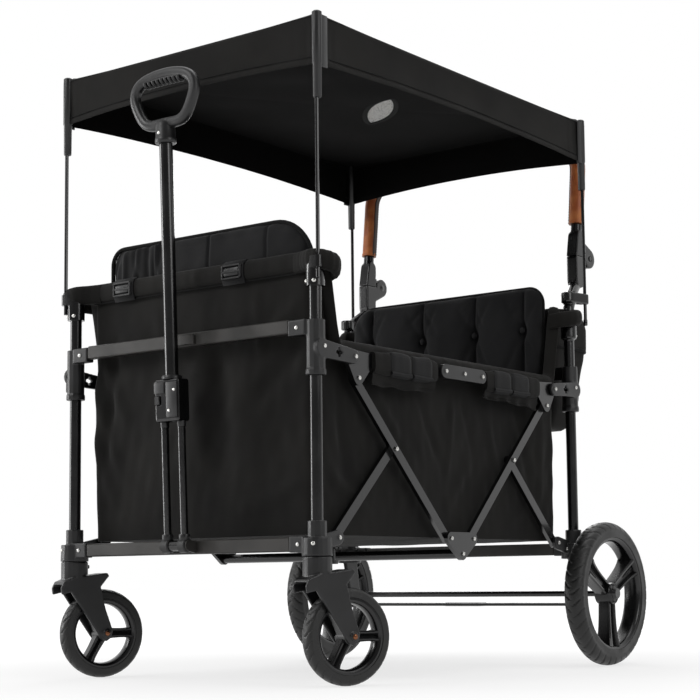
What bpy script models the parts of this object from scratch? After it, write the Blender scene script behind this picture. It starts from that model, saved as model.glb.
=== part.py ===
"""Folding two-seat wagon with a canopy, a pull handle and a fold-down push handle.

Metres, +Z up. The front, with the pull handle and the casters, faces -Y. Left and right are those
of a person who stands behind the wagon and pushes it, so left is +X. The origin lies on the floor
under the middle of the wagon's bounding box.

The wagon folds lengthwise. On each side a strut and a long brace make a scissor at both ends, the
top rails hinge up in the middle, and the collars that carry the rails slide up their posts.
"""

from math import atan2, cos, pi, radians, sin, sqrt, tau

import bmesh
import bpy
from mathutils import Matrix, Vector

# Fits
SEAT = 0.0003            # gap between pieces that touch
RUN = 0.0004             # gap between links that turn against each other

# The drawing is centred between the posts; the whole is then moved by this much
# so that the origin lies under the middle of its full length, pull grip to storage bag
MIDDLE_Y = 0.04965

# End frames
POST_X = 0.290           # half the distance between posts, side to side
POST_Y = 0.420           # half the distance between posts, front to rear
POST_R = 0.011
FOOT_Z = 0.215           # underside of the corner block
FOOT_TOP = 0.274         # top of the sleeve that holds the post
SLEEVE_R = 0.0165
FOOT_R = 0.026           # round base of a corner block
POST_SIDES = 12
BLOCK_H = 0.031
COLLAR_Z = 0.517
COLLAR_TOP = 0.611
COLLAR_TRAVEL = 0.0562   # how far the collars climb when the wagon folds
STOP_GAP = 0.0012
CAP_H = 0.055
BAR_H = 0.024            # cross bars, rectangular tube
BAR_D = 0.016
BAR_OUT = 0.008          # the bars stand this far outside the post line
UPPER_BAR_Z = 0.602
LOWER_BAR_Z = 0.235
BAR_END_X = 0.243
LUG_WALL = 0.0015        # how far a lug stands proud of its bar

# Side linkage, pivots at the front; the rear is its mirror image
LINK_X = 0.2735          # inner face of the innermost link
LINK_T = 0.008
LINK_R = 0.009           # half the height of a link
STRUT_FOOT_Y = 0.360     # distances from the middle of the wagon, then heights
STRUT_FOOT_Z = 0.247
MID_PIVOT_Y = 0.195
MID_PIVOT_Z = 0.406
BRACE_FOOT_Y = 0.037
BRACE_FOOT_Z = 0.250
BRACE_REACH = 0.1645     # from the middle pivot to the brace's upper end
RAIL_HINGE_Y = 0.332
RAIL_HINGE_Z = 0.556
RAIL_TIP = 0.061
PIVOT_R = 0.0035
HEAD_R = 0.0055
HEAD_T = 0.002
RAIL_PLATE_R = 0.014
CROSS_Z = 0.222
CROSS_R = 0.009
CONNECTOR_LEN = 0.075    # half its length
CONNECTOR_H = 0.013      # half its height
EAR_R = 0.013

# Wheels
TYRE_R = 0.145
TYRE_W = 0.044
TYRE_SIDES = 28
RIM_R = 0.117
RIM_WALL = 0.012
WHEEL_X = 0.355
WHEEL_Y = 0.435
WHEEL_HUB_R = 0.021
AXLE_R = 0.006
CASTER_R = 0.0825
CASTER_W = 0.032
CASTER_SIDES = 24
CASTER_RIM_R = 0.062
CASTER_TRAIL = 0.055
CASTER_SWIVEL = 20.0     # degrees, how the casters stand in the rest pose
FORK_GAP = 0.0025
FORK_WALL = 0.006
BARREL_R = 0.025
CROWN_Z = 0.172
CROWN_TOP = 0.190

# Pull handle
YOKE_Y = -0.452
YOKE_Z = 0.238
PULL_LEAN = 2.2          # degrees forward
YOKE_TUBE_R = 0.0070
YOKE_SPREAD = 0.0200     # half the distance between the twin tubes
PULL_TUBE_R = 0.012
CLAMP_LOW = 0.455
CLAMP_TOP = 0.530
PULL_TOP = 0.950
PULL_STROKE = 0.190
CLAMP_HALF = 0.0285
GRIP_W = 0.071           # half the width of the D grip at its top
GRIP_H = 0.097

# Push handle
PUSH_X = 0.276
PUSH_Y = 0.520           # hinge pins, behind the uprights
PUSH_Z = 0.853
PUSH_ROOT_Y = 0.480      # uprights at the height of the hinge
PUSH_TOP_Y = 0.506
PUSH_TOP_Z = 1.100
PUSH_R = 0.0155
PUSH_CORNER = 0.055
HUB_HALF = 0.0125        # half the thickness of a hinge hub
HUB_R = 0.017            # half its depth, front to rear
HUB_LOW = 0.785
HUB_EAR_R = 0.021
HUB_PIN_R = 0.005
HUB_STEP = 0.001         # where the two ears meet, outside the middle of the hub
LEATHER_Z = 0.925

# Canopy and its poles
POLE_R = 0.0035
CANOPY_X = 0.306
CANOPY_FRONT = 0.432
CANOPY_REAR = 0.463
CANOPY_TOP = 1.139
VALANCE_H = 0.092
VALANCE_ARCH = 0.013
CANOPY_WALL = 0.003
SLEEVE_LEN = 0.150       # the corner sleeves hang below the valance
CANOPY_SLEEVE_R = 0.006
FRONT_POLE_Z = 0.680
REAR_POLE_Z = 0.745

# Tub and seats
TUB_X = 0.267            # half its width under the rolled hem
TUB_Y = 0.400
TUB_Z = 0.252
TUB_WALL = 0.004
TUB_END_Z = 0.735
TUB_SIDE_Z = 0.588
TUB_CORNER = 0.020
TUB_STEP = 0.035         # share of the side's length in which its edge climbs to the high end
HEM_H = 0.036
HEM_OUT = 0.012          # how far the hem swells out at the ends
HEM_SIDE = 0.0256        # and at the sides, where it rests against the rails
BACK_X = 0.243
BACK_T = 0.040
FRONT_BACK_Y = 0.3788    # middle of each back, just clear of the tub's end wall
REAR_BACK_Y = 0.3798
BACK_Z = 0.420
FRONT_BACK_TOP = 0.805
REAR_BACK_TOP = 0.780
SEAT_DEPTH = 0.230
SEAT_T = 0.045
SEAT_TOP = 0.452
SEAT_HINGE_Y = 0.3495
SEAT_X = 0.2593          # half its width, just clear of the tub's side walls

# Storage bag
BAG_X = 0.240
BAG_D = 0.165
BAG_Z = 0.488
BAG_TOP = 0.735

VALANCE_Z = CANOPY_TOP - VALANCE_H
CANOPY_SLEEVE_Z = CANOPY_TOP - SLEEVE_LEN
STRUT_FOOT = (STRUT_FOOT_Y, STRUT_FOOT_Z)
MID_PIVOT = (MID_PIVOT_Y, MID_PIVOT_Z)
BRACE_FOOT = (BRACE_FOOT_Y, BRACE_FOOT_Z)
RAIL_HINGE = (RAIL_HINGE_Y, RAIL_HINGE_Z)

SIDES = ((1, "left"), (-1, "right"))
ENDS = ((-1, "front"), (1, "rear"))

FINISHES = {
    "black_steel": ((0.012, 0.012, 0.013), 0.22, 0.6),
    "grey_steel": ((0.075, 0.070, 0.066), 0.40, 0.7),
    "nylon": ((0.020, 0.020, 0.021), 0.55, 0.0),
    "rubber": ((0.011, 0.011, 0.011), 0.80, 0.0),
    "zinc": ((0.55, 0.55, 0.54), 0.30, 1.0),
    "canvas": ((0.010, 0.010, 0.010), 0.90, 0.0),
    "leather": ((0.255, 0.070, 0.025), 0.50, 0.0),
}

PIVOTS = {}


def clear_scene():
    for obj in list(bpy.data.objects):
        bpy.data.objects.remove(obj, do_unlink=True)


def finish(name):
    """The material of that name, made once."""
    mat = bpy.data.materials.get(name)
    if mat is None:
        colour, roughness, metallic = FINISHES[name]
        mat = bpy.data.materials.new(name)
        mat.use_nodes = True
        shader = mat.node_tree.nodes["Principled BSDF"]
        shader.inputs["Base Color"].default_value = (*colour, 1.0)
        shader.inputs["Roughness"].default_value = roughness
        shader.inputs["Metallic"].default_value = metallic
    return mat


def pivot(name, at, parent=None, turn=(0.0, 0.0, 0.0)):
    """An empty on a joint's axis. Its pieces are drawn as if it stood unturned."""
    empty = bpy.data.objects.new(name + "_axis", None)
    empty.empty_display_size = 0.03
    bpy.context.scene.collection.objects.link(empty)
    origin = Vector(at)
    if parent:
        empty.parent = PIVOTS[parent][0]
        empty.location = origin - PIVOTS[parent][1]
    else:
        empty.location = origin
    empty.rotation_euler = [radians(angle) for angle in turn]
    PIVOTS[name] = (empty, origin)


def object_from(name, bm, material_name, body):
    """Turn a bmesh drawn in the wagon's frame into an object that hangs on a body's empty."""
    empty, origin = PIVOTS[body]
    bmesh.ops.recalc_face_normals(bm, faces=bm.faces)
    if bm.calc_volume(signed=True) < 0:
        bmesh.ops.reverse_faces(bm, faces=bm.faces)
    bmesh.ops.translate(bm, verts=bm.verts, vec=-origin)
    mesh = bpy.data.meshes.new(name)
    bm.to_mesh(mesh)
    bm.free()
    mesh.materials.append(finish(material_name))
    mesh.shade_smooth()
    mesh.set_sharp_from_angle(angle=radians(35))
    obj = bpy.data.objects.new(name, mesh)
    bpy.context.scene.collection.objects.link(obj)
    obj.parent = empty
    return obj


def solid(name, material_name, body, shapes, cuts=(), added=()):
    """One piece: the shapes joined into one body, less the cuts, with what is added last."""
    obj = object_from(name, shapes[0], material_name, body)
    steps = [("UNION", shape) for shape in shapes[1:]]
    steps += [("DIFFERENCE", cut) for cut in cuts]
    steps += [("UNION", shape) for shape in added]
    for number, (operation, shape) in enumerate(steps):
        guide = object_from(f"{name}_guide_{number}", shape, material_name, body)
        guide.hide_render = True
        guide.display_type = "WIRE"
        modifier = obj.modifiers.new(f"{operation.title()} {number}", "BOOLEAN")
        modifier.operation = operation
        modifier.object = guide
    return obj


# Shapes, all drawn in the wagon's frame

def rod(start, end, radius, sides=12, end_radius=None):
    """A round bar between two points, tapered if an end radius is given."""
    start, end = Vector(start), Vector(end)
    along = end - start
    turn = along.to_track_quat("Z", "Y").to_matrix().to_4x4()
    place = Matrix.Translation((start + end) / 2) @ turn
    bm = bmesh.new()
    bmesh.ops.create_cone(bm, cap_ends=True, segments=sides, radius1=radius,
                          radius2=radius if end_radius is None else end_radius,
                          depth=along.length, matrix=place)
    return bm


def block(low, high, chamfer=0.0):
    """A box between two corners with its edges broken."""
    low, high = Vector(low), Vector(high)
    middle = (low + high) / 2
    size = [abs(b - a) for a, b in zip(low, high)]
    bm = bmesh.new()
    bmesh.ops.create_cube(bm, size=1.0, matrix=Matrix.Translation(middle) @ Matrix.Diagonal((*size, 1.0)))
    if chamfer:
        bmesh.ops.bevel(bm, geom=list(bm.edges), offset=chamfer, segments=1, affect="EDGES")
    return bm


def hull(circles, sides=16):
    """The outline, counterclockwise, of a belt pulled round circles given as (u, v, radius)."""
    points = sorted({(round(u + r * cos(tau * k / sides), 7), round(v + r * sin(tau * k / sides), 7))
                     for u, v, r in circles for k in range(sides)})

    def half(ordered):
        chain = []
        for p in ordered:
            while len(chain) > 1:
                (ax, ay), (bx, by) = chain[-2], chain[-1]
                if (bx - ax) * (p[1] - ay) - (by - ay) * (p[0] - ax) > 1e-12:
                    break
                chain.pop()
            chain.append(p)
        return chain[:-1]

    return half(points) + half(reversed(points))


def plate(outline, x_low, x_high, side=1):
    """An outline in (y, z) pulled along X between two distances from the middle."""
    bm = bmesh.new()
    ring = [bm.verts.new((side * x_low, y, z)) for y, z in outline]
    face = bm.faces.new(ring)
    grown = bmesh.ops.extrude_face_region(bm, geom=[face])
    moved = [v for v in grown["geom"] if isinstance(v, bmesh.types.BMVert)]
    bmesh.ops.translate(bm, verts=moved, vec=(side * (x_high - x_low), 0, 0))
    return bm


def slab(outline, z_low, z_high):
    """An outline in (x, y) pulled up between two heights."""
    bm = bmesh.new()
    face = bm.faces.new([bm.verts.new((x, y, z_low)) for x, y in outline])
    grown = bmesh.ops.extrude_face_region(bm, geom=[face])
    moved = [v for v in grown["geom"] if isinstance(v, bmesh.types.BMVert)]
    bmesh.ops.translate(bm, verts=moved, vec=(0, 0, z_high - z_low))
    return bm


def skin(rings, closed_tube=False, caps=True):
    """Join rings of points, each a closed loop, into one surface."""
    bm = bmesh.new()
    rows = [[bm.verts.new(p) for p in ring] for ring in rings]
    pairs = list(zip(rows, rows[1:]))
    if closed_tube:
        pairs.append((rows[-1], rows[0]))
    for a, b in pairs:
        for k in range(len(a)):
            nxt = (k + 1) % len(a)
            bm.faces.new((a[k], a[nxt], b[nxt], b[k]))
    if caps and not closed_tube:
        bm.faces.new(list(reversed(rows[0])))
        bm.faces.new(rows[-1])
    return bm


def turned(profile, centre, sides):
    """A closed profile of (x, radius) turned about the X axis, with a flat facet underneath."""
    x0, y0, z0 = centre
    rings = []
    for k in range(sides):
        angle = tau * (k + 0.5) / sides - pi / 2
        rings.append([(x0 + x, y0 + r * cos(angle), z0 + r * sin(angle)) for x, r in profile])
    return skin(rings, closed_tube=True)


def bent_rod(points, radius, sides=12):
    """A round bar along a smooth run of points that lie close together."""
    points = [Vector(p) for p in points]
    rings = []
    side_way = None
    for k, p in enumerate(points):
        before = points[max(k - 1, 0)]
        after = points[min(k + 1, len(points) - 1)]
        along = (after - before).normalized()
        if side_way is None:
            side_way = along.orthogonal().normalized()
        side_way = (side_way - along * side_way.dot(along)).normalized()
        other = along.cross(side_way)
        rings.append([p + (side_way * cos(tau * j / sides) + other * sin(tau * j / sides)) * radius
                      for j in range(sides)])
    return skin(rings)


def corner_arc(before, corner, after, radius, steps=5):
    """Points of the round bend that replaces a sharp corner between two straight runs."""
    before, corner, after = Vector(before), Vector(corner), Vector(after)
    u = (before - corner).normalized()
    v = (after - corner).normalized()
    half = u.angle(v) / 2
    reach = radius / (sin(half) / cos(half))
    centre = corner + (u + v).normalized() * (radius / sin(half))
    first = corner + u * reach - centre
    last = corner + v * reach - centre
    total = first.angle(last)
    return [centre + (first * sin(total * (1 - k / steps)) + last * sin(total * k / steps)) / sin(total)
            for k in range(steps + 1)]


def rest_height(radius, sides):
    """How high an axle lies when its wheel stands on one flat facet."""
    return radius * cos(pi / sides)


AXLE_Z = rest_height(TYRE_R, TYRE_SIDES)
CASTER_Z = rest_height(CASTER_R, CASTER_SIDES)
POST_LOW = FOOT_Z + 0.018
CAP_Z = COLLAR_TOP + COLLAR_TRAVEL + STOP_GAP
CAP_TOP = CAP_Z + CAP_H
BAR_Y = POST_Y + BAR_OUT


def layer(number):
    """Inner and outer face of one layer of the side linkage."""
    inner = LINK_X + number * (LINK_T + RUN)
    return inner, inner + LINK_T


def brace_top():
    """The upper end of the long brace: in line with its foot and the middle pivot."""
    (ym, zm), (yb, zb) = MID_PIVOT, BRACE_FOOT
    unit = (ym - yb) / sqrt((ym - yb) ** 2 + (zm - zb) ** 2)
    rise = (zm - zb) / sqrt((ym - yb) ** 2 + (zm - zb) ** 2)
    return ym + unit * BRACE_REACH, zm + rise * BRACE_REACH


BRACE_TOP = brace_top()


def pin(side, end, at, from_x, to_x, radius=PIVOT_R):
    y, z = at
    return rod((side * from_x, end * y, z), (side * to_x, end * y, z), radius, 8)


def head(side, end, at, face_x):
    """A domed rivet head on a link's outer face, a little sunk into it."""
    y, z = at
    return rod((side * (face_x - 0.0005), end * y, z), (side * (face_x + HEAD_T), end * y, z),
               HEAD_R, 8, HEAD_R * 0.6)


def bodies():
    """Empties on the joint axes, and the bodies that they carry."""
    pivot("front_end", (0, 0, 0))
    PIVOTS["front_end"][0].location.y = -MIDDLE_Y
    pivot("rear_end", (0, POST_Y, FOOT_Z), "front_end")
    pivot("front_carriage", (0, -POST_Y, COLLAR_Z), "front_end")
    pivot("rear_carriage", (0, POST_Y, COLLAR_Z), "rear_end")
    for end, name in ENDS:
        frame = f"{name}_end"
        pivot(f"{name}_struts", (0, end * STRUT_FOOT[0], STRUT_FOOT[1]), frame)
        pivot(f"{name}_braces", (0, end * MID_PIVOT[0], MID_PIVOT[1]), f"{name}_struts")
        pivot(f"{name}_rails", (0, end * RAIL_HINGE[0], RAIL_HINGE[1]), f"{name}_carriage")
        pivot(f"{name}_seat", (0, end * SEAT_HINGE_Y, SEAT_TOP), frame)
    pivot("rail_connectors", (0, -RAIL_TIP, RAIL_HINGE[1]), "front_rails")
    pivot("cross_tube", (0, -BRACE_FOOT[0], BRACE_FOOT[1]), "front_braces")
    for side, name in SIDES:
        pivot(f"caster_{name}", (side * POST_X, -POST_Y, CROWN_TOP), "front_end", (0, 0, -CASTER_SWIVEL))
        pivot(f"caster_wheel_{name}", (side * POST_X, CASTER_TRAIL - POST_Y, CASTER_Z), f"caster_{name}")
        pivot(f"caster_lock_{name}", (side * POST_X, -POST_Y, FOOT_Z), "front_end")
        pivot(f"rear_wheel_{name}", (side * WHEEL_X, WHEEL_Y, AXLE_Z), "rear_end")
    pivot("pull_handle", (0, YOKE_Y, YOKE_Z), "front_end", (PULL_LEAN, 0, 0))
    pivot("pull_slide", (0, YOKE_Y, CLAMP_TOP), "pull_handle")
    pivot("handle_button", (0, YOKE_Y, CLAMP_LOW), "pull_handle")
    pivot("collar_button", (-POST_X, -POST_Y, COLLAR_Z), "front_carriage")
    pivot("push_handle", (0, PUSH_Y, PUSH_Z), "rear_end")
    pivot("brake", (0, WHEEL_Y, AXLE_Z), "rear_end")


def posts():
    """Round steel posts. The front ones carry their moulded caps, the rear ones the hinge stubs."""
    pole_front = (CANOPY_X, CANOPY_FRONT)
    pole_rear = (CANOPY_X, CANOPY_REAR)
    for side, name in SIDES:
        x = side * POST_X
        ear = slab(hull([(x, -POST_Y, SLEEVE_R), (side * pole_front[0], -pole_front[1], 0.008)], 12),
                   CAP_TOP - 0.026, CAP_TOP - 0.006)
        solid(f"front_post_{name}", "black_steel", "front_end",
              [rod((x, -POST_Y, POST_LOW), (x, -POST_Y, CAP_Z + 0.004), POST_R, POST_SIDES),
               rod((x, -POST_Y, CAP_Z), (x, -POST_Y, CAP_TOP), SLEEVE_R, POST_SIDES),
               rod((x, -POST_Y, CAP_TOP - 0.001), (x, -POST_Y, CAP_TOP + 0.006), SLEEVE_R, POST_SIDES, 0.011),
               ear],
              [rod((side * pole_front[0], -pole_front[1], FRONT_POLE_Z - 0.02),
                   (side * pole_front[0], -pole_front[1], CAP_TOP + 0.02), POLE_R + SEAT, 10)])
        hub = plate(hull([(PUSH_ROOT_Y, HUB_LOW + HUB_R, HUB_R), (PUSH_ROOT_Y, PUSH_Z, HUB_R)], 16),
                    PUSH_X - HUB_HALF, PUSH_X + HUB_HALF, side)
        above = block((side * (PUSH_X - 0.03), PUSH_ROOT_Y - 0.03, PUSH_Z - SEAT / 2),
                      (side * (PUSH_X + 0.03), PUSH_Y - HUB_EAR_R - SEAT, PUSH_Z + 0.05))
        ear = plate(hull([(PUSH_Y, PUSH_Z, HUB_EAR_R), (PUSH_ROOT_Y + 0.006, PUSH_Z - 0.024, 0.014)], 18),
                    PUSH_X - HUB_HALF, PUSH_X + HUB_STEP, side)
        arm = slab(hull([(x, POST_Y, SLEEVE_R - 0.002), (side * pole_rear[0], pole_rear[1], 0.008)], 12),
                   REAR_POLE_Z, REAR_POLE_Z + 0.022)
        neck = bent_rod([(x, POST_Y, CAP_TOP - 0.01), (x, POST_Y + 0.002, REAR_POLE_Z - 0.012),
                         (side * (POST_X - 0.004), POST_Y + 0.020, REAR_POLE_Z + 0.018),
                         (side * PUSH_X, PUSH_ROOT_Y - 0.006, HUB_LOW + 0.004),
                         (side * PUSH_X, PUSH_ROOT_Y, HUB_LOW + HUB_R)], HUB_HALF - 0.0005, 12)
        hinge_pin = pin(side, 1, (PUSH_Y, PUSH_Z), PUSH_X - HUB_HALF - 0.002, PUSH_X + HUB_HALF + 0.0016,
                        HUB_PIN_R)
        solid(f"rear_post_{name}", "black_steel", "rear_end",
              [rod((x, POST_Y, POST_LOW), (x, POST_Y, CAP_TOP), POST_R, POST_SIDES),
               rod((x, POST_Y, CAP_Z), (x, POST_Y, CAP_TOP), SLEEVE_R, POST_SIDES), neck, arm, hub, ear],
              [above, rod((side * pole_rear[0], pole_rear[1], REAR_POLE_Z - 0.02),
                          (side * pole_rear[0], pole_rear[1], REAR_POLE_Z + 0.04), POLE_R + SEAT, 10)], [hinge_pin])


def feet():
    """Moulded corner blocks: a sleeve for the post, ears for the strut and the lower bar."""
    ear_in, ear_out = layer(1)
    y_foot, z_foot = STRUT_FOOT
    for end, end_name in ENDS:
        for side, name in SIDES:
            x = side * POST_X
            y = end * POST_Y
            sleeve = rod((x, y, FOOT_Z), (x, y, FOOT_TOP), SLEEVE_R, POST_SIDES)
            base = rod((x, y, FOOT_Z), (x, y, FOOT_Z + BLOCK_H), FOOT_R, 18, FOOT_R - 0.001)
            ear = plate(hull([(end * y_foot, z_foot, EAR_R), (end * (POST_Y - 0.010), z_foot - 0.010, EAR_R)], 14),
                        ear_in, ear_out, side)
            bar_lug = lug(end, side, LOWER_BAR_Z)
            strut_pin = pin(side, end, STRUT_FOOT, LINK_X - 0.0015, ear_in + 0.001)
            shapes = [base, sleeve, ear, bar_lug, strut_pin, head(side, end, STRUT_FOOT, ear_out)]
            cuts = [rod((x, y, POST_LOW - SEAT), (x, y, FOOT_TOP + 0.01), POST_R + SEAT, POST_SIDES)]
            if end > 0:
                carrier = plate(hull([(y, FOOT_Z + 0.012, 0.020), (WHEEL_Y, AXLE_Z, 0.017)], 16),
                                POST_X - 0.005, POST_X + 0.005, side)
                shapes.append(carrier)
                cuts.append(rod((side * 0.25, WHEEL_Y, AXLE_Z), (side * 0.33, WHEEL_Y, AXLE_Z), AXLE_R + SEAT, 12))
            solid(f"{end_name}_foot_{name}", "nylon", f"{end_name}_end", shapes, cuts)


def cross_bars():
    """Rectangular tubes across the ends. The upper front one carries the pull handle's clip."""
    for end, end_name in ENDS:
        low = (-BAR_END_X, end * BAR_Y - BAR_D / 2, LOWER_BAR_Z - BAR_H / 2)
        high = (BAR_END_X, end * BAR_Y + BAR_D / 2, LOWER_BAR_Z + BAR_H / 2)
        shapes = [block(low, high, 0.002)]
        if end < 0:
            front = -BAR_Y - BAR_D / 2
            for side, _ in SIDES:
                lug_x = YOKE_SPREAD + YOKE_TUBE_R + 0.0012
                shapes.append(plate(hull([(front, LOWER_BAR_Z, 0.010), (YOKE_Y, YOKE_Z, 0.010)], 14),
                                    lug_x, lug_x + 0.004, side))
        solid(f"{end_name}_lower_bar", "grey_steel", f"{end_name}_end", shapes)


def lug(end, side, z):
    """The block on a sleeve that a cross bar ends against."""
    half_y, half_z = BAR_D / 2 + LUG_WALL, BAR_H / 2 + LUG_WALL
    return block((side * (BAR_END_X + SEAT), end * BAR_Y - half_y, z - half_z),
                 (side * (POST_X - 0.010), end * BAR_Y + half_y, z + half_z))


def collar_shapes(end, side):
    """A sleeve that slides on a post, with the arm that carries the rail and a lug for the bar."""
    x, y = side * POST_X, end * POST_Y
    arm_in, arm_out = layer(3)
    hinge_y, hinge_z = RAIL_HINGE
    sleeve = rod((x, y, COLLAR_Z), (x, y, COLLAR_TOP), SLEEVE_R, POST_SIDES)
    arm = plate(hull([(y, hinge_z + 0.006, 0.016), (end * hinge_y, hinge_z, 0.0125)], 16), arm_in, arm_out, side)
    hinge_pin = pin(side, end, RAIL_HINGE, layer(2)[0] + 0.0005, arm_in + 0.001)
    rim = rod((x, y, COLLAR_Z), (x, y, COLLAR_Z + 0.010), SLEEVE_R + 0.0015, POST_SIDES)
    shapes = [sleeve, arm, lug(end, side, UPPER_BAR_Z - LUG_WALL - 0.002), hinge_pin, head(side, end, RAIL_HINGE, arm_out), rim]
    middle = (end * (POST_Y + hinge_y) / 2, hinge_z + 0.003)
    cuts = [rod((x, y, COLLAR_Z - 0.01), (x, y, COLLAR_TOP + 0.01), POST_R + SEAT, POST_SIDES)]
    for half_y, half_z in ((0.0085, 0.0028), (0.0028, 0.0085)):
        cuts.append(block((side * (arm_in - 0.002), middle[0] - half_y, middle[1] - half_z),
                          (side * (arm_out + 0.002), middle[0] + half_y, middle[1] + half_z)))
    return shapes, cuts


def collars():
    """Front collars and bar are separate pieces; the rear bar is welded to its collars."""
    for side, name in SIDES:
        shapes, cuts = collar_shapes(-1, side)
        if side < 0:
            x_out = POST_X + SLEEVE_R
            cuts.append(block((-x_out - 0.004, -POST_Y - 0.0065, COLLAR_Z + 0.016),
                              (-x_out + 0.0035, -POST_Y + 0.0065, COLLAR_Z + 0.036)))
        solid(f"front_collar_{name}", "nylon", "front_carriage", shapes, cuts)
    front = -BAR_Y - BAR_D / 2
    clip = block((-0.030, front - 0.006, UPPER_BAR_Z - 0.010), (0.030, front + 0.006, UPPER_BAR_Z + 0.009), 0.0015)
    solid("front_upper_bar", "grey_steel", "front_carriage",
          [block((-BAR_END_X, front, UPPER_BAR_Z - BAR_H / 2),
                 (BAR_END_X, front + BAR_D, UPPER_BAR_Z + BAR_H / 2), 0.002), clip])
    left, left_cuts = collar_shapes(1, 1)
    right, right_cuts = collar_shapes(1, -1)
    bar = block((-BAR_END_X - 0.002, BAR_Y - BAR_D / 2, UPPER_BAR_Z - BAR_H / 2),
                (BAR_END_X + 0.002, BAR_Y + BAR_D / 2, UPPER_BAR_Z + BAR_H / 2))
    solid("rear_collar_bar", "nylon", "rear_carriage", left[:3] + [bar, right[2], right[0], right[1]]
          + left[3:] + right[3:], left_cuts + right_cuts)
    x_out = POST_X + SLEEVE_R
    solid("collar_button", "nylon", "collar_button",
          [block((-x_out - 0.0045, -POST_Y - 0.0065 + SEAT, COLLAR_Z + 0.016 + SEAT),
                 (-x_out + 0.0003, -POST_Y + 0.0065 - SEAT, COLLAR_Z + 0.036 - SEAT), 0.001)])


def side_links():
    """Struts, braces, rails and what joins them, in four layers side by side."""
    strut_in, strut_out = layer(0)
    brace_in, brace_out = layer(1)
    rail_in, rail_out = layer(2)
    cover_in, cover_out = layer(3)
    for end, end_name in ENDS:
        foot = (end * STRUT_FOOT[0], STRUT_FOOT[1])
        mid = (end * MID_PIVOT[0], MID_PIVOT[1])
        low = (end * BRACE_FOOT[0], BRACE_FOOT[1])
        top = (end * BRACE_TOP[0], BRACE_TOP[1])
        hinge = (end * RAIL_HINGE[0], RAIL_HINGE[1])
        tip = (end * RAIL_TIP, RAIL_HINGE[1])
        for side, name in SIDES:
            solid(f"{end_name}_strut_{name}", "black_steel", f"{end_name}_struts",
                  [plate(hull([(*foot, LINK_R), (*mid, LINK_R)], 12), strut_in, strut_out, side),
                   pin(side, end, MID_PIVOT, strut_out - 0.001, brace_out + 0.0006),
                   head(side, end, MID_PIVOT, brace_out + RUN + 0.0005)],
                  [pin(side, end, STRUT_FOOT, strut_in - 0.01, strut_out + 0.01, PIVOT_R + SEAT)])
            brace_cuts = [pin(side, end, MID_PIVOT, brace_in - 0.01, brace_out + 0.01, PIVOT_R + SEAT)]
            if end < 0:
                brace_cuts.append(pin(side, end, BRACE_FOOT, brace_in - 0.01, brace_out + 0.01, PIVOT_R + SEAT))
            solid(f"{end_name}_brace_{name}", "black_steel", f"{end_name}_braces",
                  [plate(hull([(*low, LINK_R), (*top, LINK_R)], 12), brace_in, brace_out, side)], brace_cuts)
            root = (end * (RAIL_HINGE[0] - 0.055), RAIL_HINGE[1])
            rail_cuts = [pin(side, end, RAIL_HINGE, rail_in - 0.01, rail_out + 0.01, PIVOT_R + SEAT)]
            if end < 0:
                rail_cuts.append(pin(side, end, (RAIL_TIP, RAIL_HINGE[1]), rail_in - 0.01, rail_out + 0.01,
                                     PIVOT_R + SEAT))
            solid(f"{end_name}_rail_{name}", "black_steel", f"{end_name}_rails",
                  [plate(hull([(*hinge, RAIL_PLATE_R), (*top, 0.013), (*root, 0.011)], 12), rail_in, rail_out, side),
                   plate(hull([(*root, LINK_R), (*tip, LINK_R)], 12), rail_in, rail_out, side),
                   head(side, end, BRACE_TOP, rail_out)], rail_cuts)
    for side, name in SIDES:
        z = RAIL_HINGE[1]
        tips = [(-CONNECTOR_LEN + CONNECTOR_H, z, CONNECTOR_H), (CONNECTOR_LEN - CONNECTOR_H, z, CONNECTOR_H)]
        solid(f"rail_connector_{name}", "nylon", "rail_connectors",
              [plate(hull(tips, 12), cover_in, cover_out + 0.002, side),
               pin(side, -1, (RAIL_TIP, z), rail_in + 0.001, cover_in + 0.001),
               head(side, 1, (RAIL_TIP, z), cover_out + 0.002), head(side, -1, (RAIL_TIP, z), cover_out + 0.002),
               head(side, 1, (0, z), cover_out + 0.002)])


def cross_tube():
    """The tube across the middle, with a three-rivet bracket at each end for the braces."""
    rail_in, rail_out = layer(2)
    y, z = BRACE_FOOT
    outline = hull([(-y, z, 0.012), (y, z, 0.012), (0, CROSS_Z, 0.012)], 14)
    shapes = [rod((-rail_in - 0.002, 0, CROSS_Z), (rail_in + 0.002, 0, CROSS_Z), CROSS_R, 16)]
    for side, _ in SIDES:
        shapes.append(plate(outline, rail_in, rail_out, side))
        shapes.append(pin(side, -1, BRACE_FOOT, layer(1)[0], rail_in + 0.001))
        for end in (-1, 1):
            shapes.append(head(side, end, BRACE_FOOT, rail_out))
        shapes.append(head(side, 1, (0, CROSS_Z), rail_out))
    solid("cross_tube", "black_steel", "cross_tube", shapes)


def spoke_plates(centre, hub, reach, root_r, tip_r, half_width, count, first):
    """Tapered spokes from the hub out into the rim."""
    x, y, z = centre
    plates = []
    for k in range(count):
        angle = radians(first) + tau * k / count
        near = (y + hub * cos(angle), z + hub * sin(angle), root_r)
        far = (y + reach * cos(angle), z + reach * sin(angle), tip_r)
        plates.append(plate(hull([near, far], 8), x - half_width, x + half_width))
    return plates


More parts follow.
